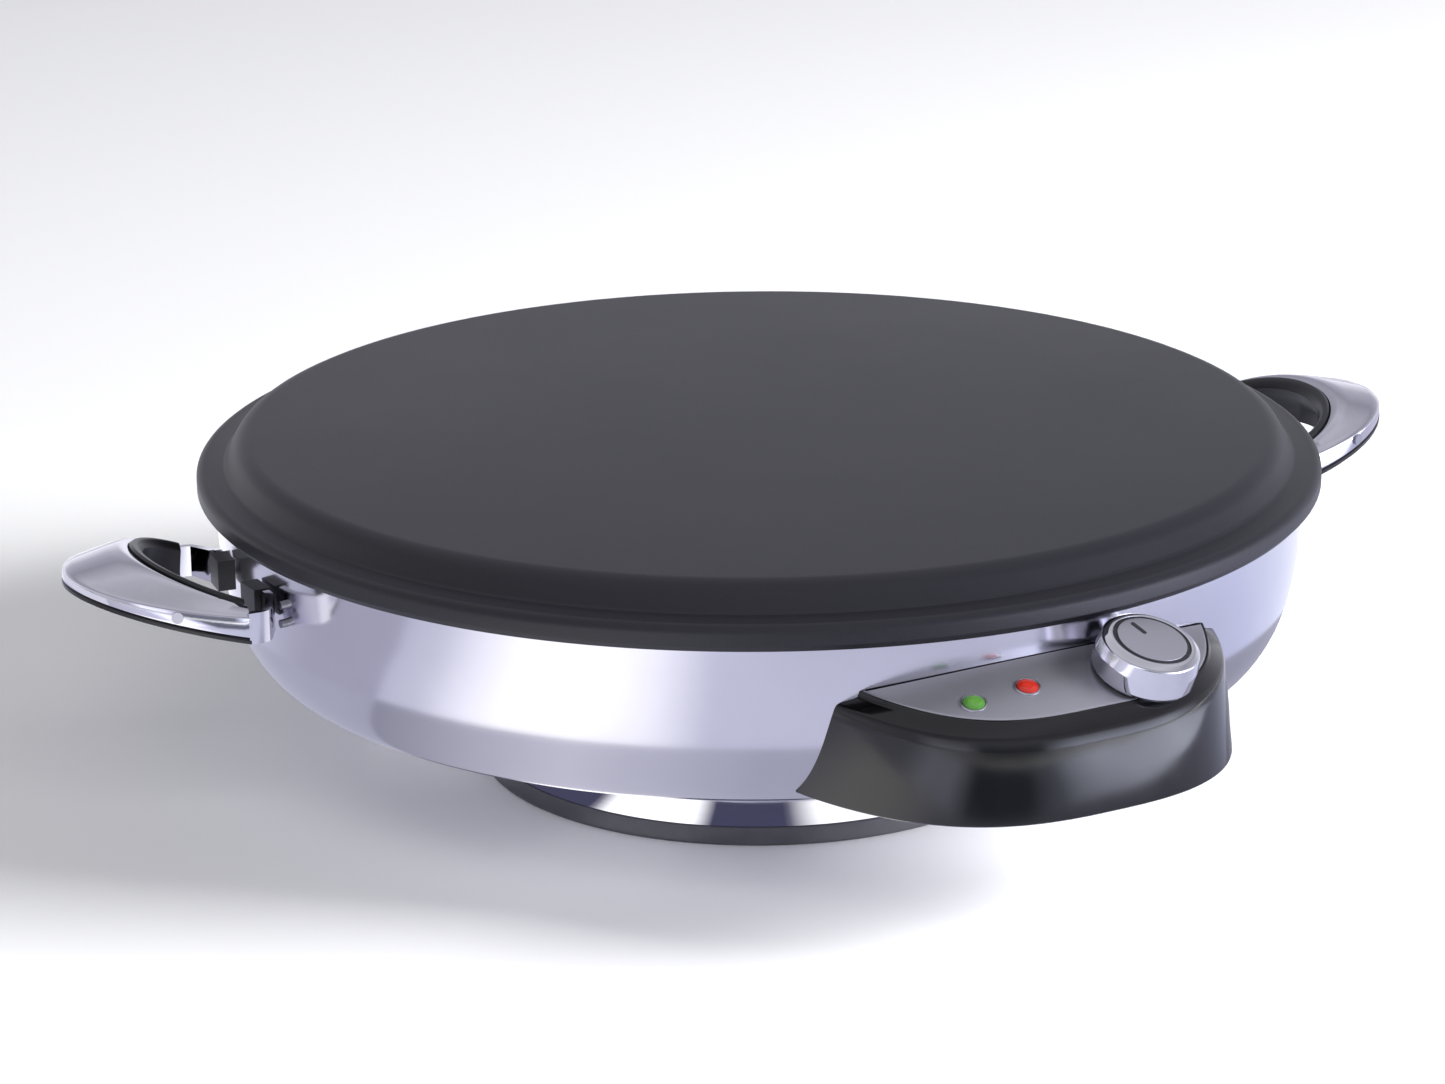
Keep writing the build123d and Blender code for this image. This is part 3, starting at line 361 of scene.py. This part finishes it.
steel = Finish("polished_stainless")
spin_rings = steel.noise(700, 3, 0.6, (0.02, 0.02, 1))
steel_haze = steel.noise(14, 4, 0.6)
polished_steel = steel.surface(
    base_color=steel.mix(steel_haze, tone(205, 204, 212), tone(222, 221, 228)), metallic=1.0,
    roughness=0.11 + steel_haze * 0.06 + spin_rings * 0.03,
    normal=steel.bump(spin_rings, 0.00002, 0.35))
outside = [(p.x * MM, p.y * MM) for p in bowl_side(0)]
inside = [(p.x * MM, p.y * MM) for p in bowl_side(-BOWL_WALL)]
bottom = rounded(((178.0, 46.3, 0), (112.0, 32.0, 6), (104.0, 30.0, 4), (0.0, 30.0, 0)))[1:]
upper = rounded(((0.0, 31.0, 0), (104.0, 31.0, 4), (111.6, 33.0, 4), (178.2, 47.3, 0)))[:-1]
ledge = rounded(((202.4, 111.8, 0), (193.8, 111.8, 0), (193.8, 112.8, 0), (203.4, 112.8, 0)))[:-1]
bowl = piece("spun_bowl", spun(outside + bottom + upper + inside[:0:-1] + ledge), polished_steel)
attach(bowl, "base")
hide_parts("bowl_shell")

# ------------------------------------------------------------------ cooking plate
# Cast aluminium with a matte non-stick coat, turned flat on top. A round shoulder drops
# to a shallow gutter, and a radiused rim turns down over the bowl.
cast = Finish("nonstick_casting")
cast_grain = cast.noise(1900, 4, 0.65)
cast_cloud = cast.noise(7, 5, 0.6)
cast_pits = cast.node("TexVoronoi", {}, {"Vector": cast.place(), "Scale": 1100.0})
coated_cast = cast.surface(
    base_color=cast.mix(cast_cloud * 0.5 + cast_grain * 0.5, tone(14, 13, 19), tone(21, 20, 28)),
    roughness=0.37 + cast_cloud * 0.08 + cast_grain * 0.08,
    normal=cast.bump(cast_grain + cast_pits * 0.4, 0.00009, 0.55), specular_ior_level=0.55)
plate = piece("griddle_plate", spun(rounded((
    (0.0, 129.7, 0), (194.0, 129.7, 8.0), (199.4, 119.9, 2.0), (205.4, 119.2, 0.8),
    (210.0, 119.0, 3.2), (210.0, 112.0, 0.8), (207.7, 109.5, 0.8), (204.1, 109.5, 0.6),
    (204.1, 113.0, 0), (192.0, 113.0, 1.0), (185.0, 121.2, 1.0), (0.0, 121.2, 0)))), coated_cast)
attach(plate, "base")
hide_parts("cooking_plate")

# ------------------------------------------------------------------ control box
# A gloss black moulding with a rounded plan, whose back is shaped to the bowl. A bevelled
# shoulder runs round the top, and inside it the lid is a shallow cone let in for the panel.
SQUARE = 2.75                       # exponent of the rounded plan
BOX_BACK = 95.0
LID_AXIS, PANEL_FRONT, PANEL_FRONT_Z, LID_FALL = 121.0, 232.5, 88.2, tan(radians(19.7))
BOX_GAP = 0.2                        # between the moulding and the bowl
TUCK_R = 203.6                       # where the lid and the panel end, at the bowl
ALONG, FINE, HALVINGS = 96, 600, 40


def lid_height(x, y):
    """The height of the conical lid at a place in plan, in millimetres."""
    return PANEL_FRONT_Z + (PANEL_FRONT - LID_AXIS - hypot(x, y + LID_AXIS)) * LID_FALL


def bowl_radius(up):
    """The bowl's outside radius at a height, in millimetres."""
    side = bowl_side(BOX_GAP, 8)
    for above, below in zip(side, side[1:]):
        if above.y >= up >= below.y:
            return above.lerp(below, (above.y - up) / max(above.y - below.y, 1e-6)).x
    return side[0].x if up > side[0].y else side[-1].x


def plan_point(half, front, turn):
    """A point of the D-shaped plan at a turn of 0 to pi, in millimetres."""
    across, deep = cos(turn), sin(turn)
    return Vector(((half if across > 0 else -half) * abs(across) ** (2 / SQUARE),
                   -BOX_BACK - (front - BOX_BACK) * deep ** (2 / SQUARE)))


def plan_row(half, front, height_at):
    """The plan's outline outside the bowl, at heights given by a function of x and y."""
    low, high = 0.02, pi / 2
    for _ in range(HALVINGS):
        turn = (low + high) / 2
        spot = plan_point(half, front, turn)
        if spot.length < bowl_radius(height_at(spot.x, spot.y)):
            low = turn
        else:
            high = turn
    row = []
    fine = [plan_point(half, front, high + (pi - 2 * high) * k / FINE)
            for k in range(FINE + 1)]
    run = [0.0]
    for a, b in zip(fine, fine[1:]):
        run.append(run[-1] + (b - a).length)
    k = 0
    for step in range(ALONG + 1):
        want = run[-1] * step / ALONG
        while k < FINE - 1 and run[k + 1] < want:
            k += 1
        spot = fine[k].lerp(fine[k + 1], (want - run[k]) / max(run[k + 1] - run[k], 1e-9))
        row.append(Vector((spot.x, spot.y, height_at(spot.x, spot.y))) * MM)
    return row


def skin(rows, closed=False):
    """A mesh across rows of the same number of points."""
    mesh = bmesh.new()
    laid = [[mesh.verts.new(point) for point in row] for row in rows]
    for one, two in zip(laid, laid[1:] + (laid[:1] if closed else [])):
        for a, b, c, d in zip(one, one[1:], two[1:], two):
            mesh.faces.new((a, b, c, d))
    return mesh


def sloped(front, up, lean):
    """A height function for a plane that rises towards the bowl."""
    return lambda x, y: up + (front + y) * tan(radians(lean))


def lid_rows(half, front, drop, count):
    """Rows from the plan's outline in to the bowl, on the lid's cone lowered by a drop."""
    edge = plan_row(half, front, lambda x, y: lid_height(x, y) - drop)
    first, last = edge[0], edge[-1]
    turns = [atan2(p.y, p.x) for p in (first, last)]
    rows = []
    for step in range(count + 1):
        row = []
        for k, point in enumerate(edge):
            turn = turns[0] + (turns[1] - turns[0]) * k / ALONG
            back = Vector((TUCK_R * MM * cos(turn), TUCK_R * MM * sin(turn), 0))
            spot = point.lerp(back, step / count)
            up = lid_height(spot.x / MM, spot.y / MM) - drop
            row.append(Vector((spot.x, spot.y, up * MM)))
        rows.append(row)
    return rows


gloss = Finish("gloss_black")
gloss_wave = gloss.noise(160, 2, 0.5)
gloss_dust = gloss.noise(2600, 2, 0.7)
gloss_black = gloss.surface(
    base_color=gloss.mix(gloss_wave, tone(7, 7, 9), tone(11, 11, 14)),
    roughness=0.07 + gloss_wave * 0.05 + gloss_dust * 0.03,
    normal=gloss.bump(gloss_wave, 0.00001, 0.25), specular_ior_level=0.6)
SHELL_LEVELS = (  # half width, front, height at the front, lean of the level's plane
    (87.0, 238.3, 60.0, 0), (87.6, 238.9, 53.7, 0), (88.2, 239.5, 53.5, 0),
    (89.8, 241.1, 53.5, 0), (90.3, 241.6, 53.9, 0), (90.2, 241.5, 55.0, 0),
    (89.3, 240.2, 66.0, 2.5), (88.3, 238.5, 78.0, 5.5), (87.9, 237.8, 80.9, 6.6),
    (87.5, 237.3, 82.2, 6.8), (86.8, 236.8, 83.2, 6.6), (82.8, 234.0, 86.7, 4.7),
    (82.3, 233.6, 87.2, 4.6))
RECESS_LEVELS = ((82.0, 233.3, 0.10), (81.6, 232.9, 0.02), (81.4, 232.7, 0.15))
RECESS_FLOOR = (81.4, 232.7, 1.3)
shell_rows = [plan_row(half, front, sloped(front, up, lean))
              for half, front, up, lean in SHELL_LEVELS]
shell_rows += [plan_row(half, front, lambda x, y, d=drop: lid_height(x, y) - d)
               for half, front, drop in RECESS_LEVELS]
shell_rows += lid_rows(*RECESS_FLOOR, 12)
box = piece("box_moulding", skin(shell_rows), gloss_black, 50)
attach(box, "base")
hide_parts("control_housing")

# ------------------------------------------------------------------ control panel
# One sheet of satin aluminium pressed to the lid's cone and stuck down in its recess,
# with softened edges. Its long grain runs from side to side.
satin = Finish("satin_sheet")
satin_lines = satin.noise(900, 2, 0.6, (0.03, 1, 1))
satin_cloud = satin.noise(40, 3, 0.5)
satin_sheet = satin.surface(
    base_color=satin.mix(satin_cloud, tone(172, 172, 182), tone(188, 188, 197)), metallic=0.85,
    roughness=0.34 + satin_lines * 0.10, normal=satin.bump(satin_lines, 0.00003, 0.4))
PANEL_EDGE = ((81.2, 232.5, 1.2), (81.2, 232.5, 0.35), (81.1, 232.4, 0.12), (80.9, 232.2, 0.02))
PANEL_FACE = (80.7, 232.0, 0.0)
panel_rows = [plan_row(half, front, lambda x, y, d=drop: lid_height(x, y) - d)
              for half, front, drop in PANEL_EDGE]
panel_rows += lid_rows(*PANEL_FACE, 24)
panel = piece("panel_sheet", skin(panel_rows), satin_sheet, 60)
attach(panel, "base")
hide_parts("control_panel")

# ------------------------------------------------------------------ lamps
# Two moulded lenses pushed up through the panel, each lit by a small lamp below it and
# ringed by a pale plated bezel.
LAMPS = (("green", (-40.6, -216.0), tone(58, 110, 40), tone(92, 142, 62)),
         ("red", (-19.7, -216.4), tone(146, 26, 16), tone(178, 46, 30)))
LENS_R = 3.9


def lid_stand(x, y):
    """A frame on the lid at a place in plan, its Z standing square on the cone."""
    run, tilt = hypot(x, y + LID_AXIS), atan2(LID_FALL, 1)
    out_x, out_y = x / run, (y + LID_AXIS) / run
    up = Vector((sin(tilt) * out_x, sin(tilt) * out_y, cos(tilt)))
    side = Vector((-out_y, out_x, 0.0))
    turn = Matrix((side, up.cross(side), up)).transposed().to_4x4()
    return Matrix.Translation(Vector((x, y, lid_height(x, y))) * MM) @ turn


bezel_metal = Finish("pale_bezel")
bezel_haze = bezel_metal.noise(800, 2)
pale_bezel = bezel_metal.surface(
    base_color=bezel_metal.mix(bezel_haze, tone(196, 196, 202), tone(214, 214, 220)),
    metallic=1.0, roughness=0.22 + bezel_haze * 0.08)
for colour, at, deep, bright in LAMPS:
    stand = lid_stand(*at)
    moulded = Finish(colour + "_lens_moulding")
    ripple = moulded.node("TexVoronoi", {}, {"Vector": moulded.place(), "Scale": 1500.0})
    core = moulded.node("VectorMath", {"operation": "DISTANCE"},
                        {0: moulded.place(), 1: stand.translation}, out="Value")
    lit = moulded.mix(core * 230 + ripple * 0.15, bright, deep)
    lens_moulding = moulded.surface(
        base_color=lit, roughness=0.16 + ripple * 0.06, emission_color=lit,
        emission_strength=0.12, coat_weight=0.4, normal=moulded.bump(ripple, 0.00012, 0.4))
    lens = piece(colour + "_lamp_lens", spun(rounded((
        (0.0, -1.0, 0), (LENS_R - 0.1, -1.0, 0), (LENS_R - 0.1, 0.55, 0.5), (2.0, 1.0, 2.0),
        (0.0, 1.05, 0))), 64, stand), lens_moulding)
    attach(lens, "base")
    colour + "_glow"
    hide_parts(colour + "_lens")
    bezel = piece(colour + "_lamp_bezel", spun(rounded((
        (LENS_R, -0.4, 0), (LENS_R + 0.75, -0.4, 0), (LENS_R + 0.75, 0.42, 0.25),
        (LENS_R, 0.55, 0.2))), 64, stand), pale_bezel)
    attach(bezel, "base")

# ------------------------------------------------------------------ knob
# A plated moulding pushed on the thermostat's shaft. Its skirt is mirror bright, and a
# satin spun disc with a dark pointer mark is let into its top inside a dark groove.
KNOB_AT, KNOB_R, KNOB_H, CAP_R = (23.5, -220.3), 18.0, 14.0, 12.2
knob_stand = lid_stand(*KNOB_AT)
mirror = Finish("bright_knob")
mirror_haze = mirror.noise(120, 3)
bright_knob = mirror.surface(
    base_color=mirror.mix(mirror_haze, tone(220, 220, 226), tone(234, 234, 240)), metallic=1.0,
    roughness=0.03 + mirror_haze * 0.05)
knob = piece("knob_skirt", spun(rounded((
    (15.0, 0.8, 0), (KNOB_R - 0.5, 0.8, 0.3), (KNOB_R, 1.8, 0.6), (KNOB_R, 7.5, 4.0),
    (KNOB_R - 0.9, 12.6, 1.6), (KNOB_R - 3.0, KNOB_H, 1.6), (CAP_R + 1.5, KNOB_H, 0.3),
    (CAP_R + 1.3, KNOB_H - 0.9, 0), (0.0, KNOB_H - 0.9, 0), (0.0, 6.0, 0), (15.0, 6.0, 0))),
    160, knob_stand), bright_knob)
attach(knob, "knob")
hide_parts("control_knob")

spun_disc = Finish("satin_disc")
disc_centre = spun_disc.node("VectorMath", {"operation": "SUBTRACT"},
                             {0: spun_disc.node("TexCoord", out="Object"),
                              1: knob_stand @ Vector((0, 0, KNOB_H * MM))})
disc_radius = spun_disc.node("VectorMath", {"operation": "LENGTH"}, {0: disc_centre}, out="Value")
disc_rings = spun_disc.node("TexNoise", {"noise_dimensions": "1D"},
                            {"W": disc_radius, "Scale": 5200.0, "Detail": 2.0})
satin_disc = spun_disc.surface(
    base_color=spun_disc.mix(disc_rings, tone(168, 168, 178), tone(198, 198, 207)),
    metallic=0.9, roughness=0.26 + disc_rings * 0.14,
    normal=spun_disc.bump(disc_rings, 0.00004, 0.5))
disc = piece("knob_disc", spun(rounded((
    (0.0, KNOB_H - 0.9, 0), (CAP_R, KNOB_H - 0.9, 0), (CAP_R, KNOB_H + 0.2, 0.25),
    (0.0, KNOB_H + 0.35, 0))), 128, knob_stand), satin_disc)
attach(disc, "knob")
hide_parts("knob_cap")

ink = Finish("black_fill")
ink_grain = ink.noise(2200, 2)
black_fill = ink.surface(base_color=ink.mix(ink_grain, tone(20, 20, 23), tone(34, 34, 38)),
                         roughness=0.35 + ink_grain * 0.15)
groove = piece("knob_groove", spun(rounded((
    (CAP_R + 0.1, KNOB_H - 0.88, 0), (CAP_R + 1.25, KNOB_H - 0.88, 0),
    (CAP_R + 1.25, KNOB_H - 0.35, 0), (CAP_R + 0.1, KNOB_H - 0.35, 0))), 128, knob_stand),
    black_fill)
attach(groove, "knob")
mark_mesh = bmesh.new()
MARK_IN, MARK_OUT, MARK_HALF = 3.2, 10.2, 0.8
MARK_BASE, MARK_THICK = KNOB_H + 0.05, 0.36
mark_line = []
for end, start in ((MARK_OUT - MARK_HALF, 0), (MARK_IN + MARK_HALF, pi)):
    for k in range(11):
        turn = start + pi * k / 10
        mark_line.append((MARK_HALF * cos(turn), end + MARK_HALF * sin(turn)))
mark_face = mark_mesh.faces.new([
    mark_mesh.verts.new(knob_stand @ Vector((x * MM, y * MM, MARK_BASE * MM)))
    for x, y in mark_line])
raised = bmesh.ops.extrude_face_region(mark_mesh, geom=[mark_face])
bmesh.ops.translate(mark_mesh, vec=knob_stand.to_3x3() @ Vector((0, 0, MARK_THICK * MM)),
                    verts=[v for v in raised["geom"] if isinstance(v, bmesh.types.BMVert)])
mark = piece("pointer_mark", mark_mesh, black_fill)
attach(mark, "knob")
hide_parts("knob_mark")

# ------------------------------------------------------------------ handles
# Each handle is one polished metal pressing: two flat arms bent out from the bowl, and a
# roof that falls from the finger hollow to the tip. A black bakelite grip fills it from
# below, with a raised lip round the hollow and a thin edge that shows under the metal.
HANDLE_TURN = radians(-4.0)
ROOT, REACH, HALF = 217.0, 53.0, 43.0
HOLE_REACH, HOLE_HALF = 23.0, 35.5
SWEEP_STEPS = 72


def half_round(base, reach, half, rise, square=1.0):
    """A half ellipse across the handle's root, rising outward, as points in millimetres."""
    row = []
    for k in range(SWEEP_STEPS + 1):
        turn = -pi / 2 + pi * k / SWEEP_STEPS
        out = abs(cos(turn)) ** square
        row.append(Vector((ROOT + reach * out, half * sin(turn),
                           base + reach * out * tan(radians(rise)))))
    return row


def handle_rows(levels):
    """A skin across half rounds, each given as base height, reach, half width and rise."""
    return skin([[point * MM for point in half_round(*level)] for level in levels])


def turned_copies(name, made, finish, replaced, sharp=35.0):
    """The right and left pieces from one mesh drawn along +X, riding on the base."""
    for side, turn in (("right", HANDLE_TURN), ("left", HANDLE_TURN + pi)):
        copy = made.copy()
        bmesh.ops.transform(copy, matrix=Matrix.Rotation(turn, 4, "Z"), verts=copy.verts)
        placed = piece(f"{side}_{name}", copy, finish, sharp)
        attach(placed, "base")
        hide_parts(f"{side}_{replaced}")
    made.free()


chrome = Finish("handle_plating")
chrome_haze = chrome.noise(70, 4, 0.6)
chrome_fine = chrome.noise(1800, 2)
handle_plating = chrome.surface(
    base_color=chrome.mix(chrome_haze, tone(206, 205, 214), tone(226, 226, 233)), metallic=1.0,
    roughness=0.05 + chrome_haze * 0.06 + chrome_fine * 0.02,
    normal=chrome.bump(chrome_haze, 0.00006, 0.25))
pressing = handle_rows((
    (89.4, REACH - 1.4, HALF - 1.4, 16.0), (89.1, REACH - 1.0, HALF - 1.0, 16.0),
    (89.1, REACH - 0.3, HALF - 0.3, 16.0), (89.5, REACH, HALF, 15.8),
    (96.4, REACH, HALF, 11.3), (97.1, REACH - 0.3, HALF - 0.3, 11.3),
    (97.6, REACH - 1.2, HALF - 0.9, 11.8), (98.2, REACH - 3.5, HALF - 1.6, 12.6),
    (99.6, 37.0, 40.6, 18.5), (100.1, 32.0, 39.6, 21.6), (100.2, 30.4, 38.9, 22.0),
    (100.0, 28.0, 37.6, 22.0), (98.8, 27.6, 37.3, 22.0)))
ARM_T, ARM_LOW, ARM_HIGH = 2.6, 87.0, 98.4
ARM_LINE = ((ROOT + 0.6, 41.7), (212.8, 41.7), (210.6, 40.9), (209.3, 39.2), (205.9, 31.6),
            (204.7, 29.0), (204.9, 26.6), (205.1, 24.4))
ARM_GROW = (0.0, 0.0, 0.0, 0.0, 0.4, 1.2, 1.4, 1.4)     # the foot is taller than the arm
for side in (1, -1):
    sides = []
    for k, (out, across) in enumerate(ARM_LINE):
        before, after = ARM_LINE[max(k - 1, 0)], ARM_LINE[min(k + 1, len(ARM_LINE) - 1)]
        along = Vector((after[0] - before[0], after[1] - before[1])).normalized()
        off = Vector((-along.y, along.x)) * ARM_T / 2
        sides.append([(out + off.x, across + off.y), (out - off.x, across - off.y)])
    cross = [[(s[0][0], s[0][1], ARM_LOW - g), (s[0][0], s[0][1], ARM_HIGH + g),
              (s[1][0], s[1][1], ARM_HIGH + g), (s[1][0], s[1][1], ARM_LOW - g)]
             for s, g in zip(sides, ARM_GROW)]
    rings = [[pressing.verts.new((x * MM, y * side * MM, z * MM)) for x, y, z in ring]
             for ring in cross]
    for one, two in zip(rings, rings[1:]):
        for k in range(4):
            pressing.faces.new((one[k - 1], one[k], two[k], two[k - 1]))
    for ring in (rings[0], rings[-1]):
        pressing.faces.new(ring)
turned_copies("handle_pressing", pressing, handle_plating, "handle_shell", 28.0)

resin = Finish("black_bakelite")
resin_grain = resin.noise(1300, 3)
resin_bloom = resin.noise(40, 3)
black_bakelite = resin.surface(
    base_color=resin.mix(resin_bloom, tone(17, 17, 19), tone(30, 30, 33)),
    roughness=0.26 + resin_grain * 0.12, normal=resin.bump(resin_grain, 0.00005, 0.4))
grip = handle_rows((
    (85.6, 29.2, 35.7, 16.0), (86.9, 30.4, 36.8, 16.0), (86.8, REACH - 1.0, HALF - 1.0, 16.0),
    (87.1, REACH + 0.1, HALF + 0.1, 16.0), (88.3, REACH + 0.2, HALF + 0.2, 16.0),
    (88.9, REACH - 0.4, HALF - 0.4, 16.0), (89.2, REACH - 2.0, HALF - 2.0, 16.0),
    (98.0, 27.4, 37.2, 22.0), (99.4, 27.4, 37.2, 22.0), (100.8, 27.2, 37.0, 22.0),
    (101.7, 26.2, 36.2, 22.0), (101.8, 25.0, 35.2, 22.0), (101.2, 23.6, 34.2, 22.0),
    (99.2, 22.4, 33.4, 22.0), (96.0, 24.5, 34.4, 20.0), (91.0, 29.0, 35.6, 17.5),
    (85.6, 29.2, 35.7, 16.0)))
bmesh.ops.remove_doubles(grip, verts=grip.verts, dist=1e-6)
turned_copies("handle_grip_moulding", grip, black_bakelite, "handle_grip", 40.0)

# ------------------------------------------------------------------ carried-over pieces
# The screws, rivets, blocks, cover, gland and inner works keep their made shapes. Each
# group is finished in its own stuff: plated steel, moulded black, wool, copper or brass.


def carried(finish, *names):
    """Give a finish to pieces that keep the shape they were made in."""
    for name in names:
        held = nodes[name].data.materials
        held.clear()
        held.append(finish)


def metal(name, dark, light, rough, scale=600.0, stretch=(1.0, 1.0, 1.0)):
    """A plain metal whose tone and shine vary a little over the surface."""
    stuff = Finish(name)
    worn = stuff.noise(scale, 3, 0.6, stretch)
    broad = stuff.noise(scale / 12, 3, 0.6)
    return stuff.surface(base_color=stuff.mix(worn * 0.5 + broad * 0.5, dark, light),
                         metallic=1.0, roughness=rough + worn * 0.12 + broad * 0.06,
                         normal=stuff.bump(worn, 0.00003, 0.4))


def moulded(name, dark, light, rough, scale=1200.0, depth=0.00006):
    """A plain plastic, rubber or ceramic with a fine even grain."""
    stuff = Finish(name)
    fine, broad = stuff.noise(scale, 3, 0.6), stuff.noise(50, 3, 0.6)
    return stuff.surface(base_color=stuff.mix(broad * 0.6 + fine * 0.4, dark, light),
                         roughness=rough + fine * 0.14, normal=stuff.bump(fine, depth, 0.5))


zinc = metal("zinc_plate", tone(150, 152, 156), tone(196, 197, 200), 0.26)
brass = metal("brass", tone(176, 140, 70), tone(208, 174, 100), 0.24)
bright_sheet = metal("reflector_sheet", tone(176, 178, 182), tone(206, 208, 212), 0.22, 90)
scaled_steel = metal("oxidised_sheath", tone(70, 62, 58), tone(104, 94, 88), 0.42, 800)
copper = metal("copper_tube", tone(172, 98, 66), tone(206, 132, 96), 0.26)
satin_rivet = metal("rivet_steel", tone(150, 150, 158), tone(190, 190, 198), 0.24)
carried(zinc, "band_screws", "base_screws", "rod_nuts", "tie_rods", "rod_spacers",
        "cover_screws", "left_handle_screws", "right_handle_screws", "clamp_screws",
        "element_clamps", "base_plate", "thermostat_shaft", "knob_clip", "thermostat_nut",
        "heat_shield", "element_pins", "bulb_clip")
carried(satin_rivet, "left_handle_rivets", "right_handle_rivets")
carried(brass, "terminal_screws")
carried(bright_sheet, "heat_reflector")
carried(scaled_steel, "heating_element")
carried(copper, "sensing_bulb", "capillary_tube")
carried(moulded("block_moulding", tone(20, 20, 22), tone(34, 34, 37), 0.34),
        "left_handle_blocks", "right_handle_blocks", "thermostat", "terminal_block")
carried(moulded("cover_moulding", tone(22, 22, 24), tone(38, 38, 41), 0.46, 900, 0.00012),
        "housing_cover")
carried(moulded("gland_rubber", tone(24, 24, 25), tone(40, 40, 42), 0.62), "cord_gland")
carried(moulded("mineral_wool", tone(176, 164, 138), tone(214, 204, 182), 0.86, 700, 0.0006),
        "insulation_pad")
carried(moulded("lead_sleeve", tone(196, 190, 176), tone(222, 218, 206), 0.6, 1500, 0.0001),
        "element_leads", "supply_leads", "thermal_fuse")
carried(moulded("lamp_body", tone(190, 190, 186), tone(216, 216, 212), 0.3),
        "green_lamp", "red_lamp")
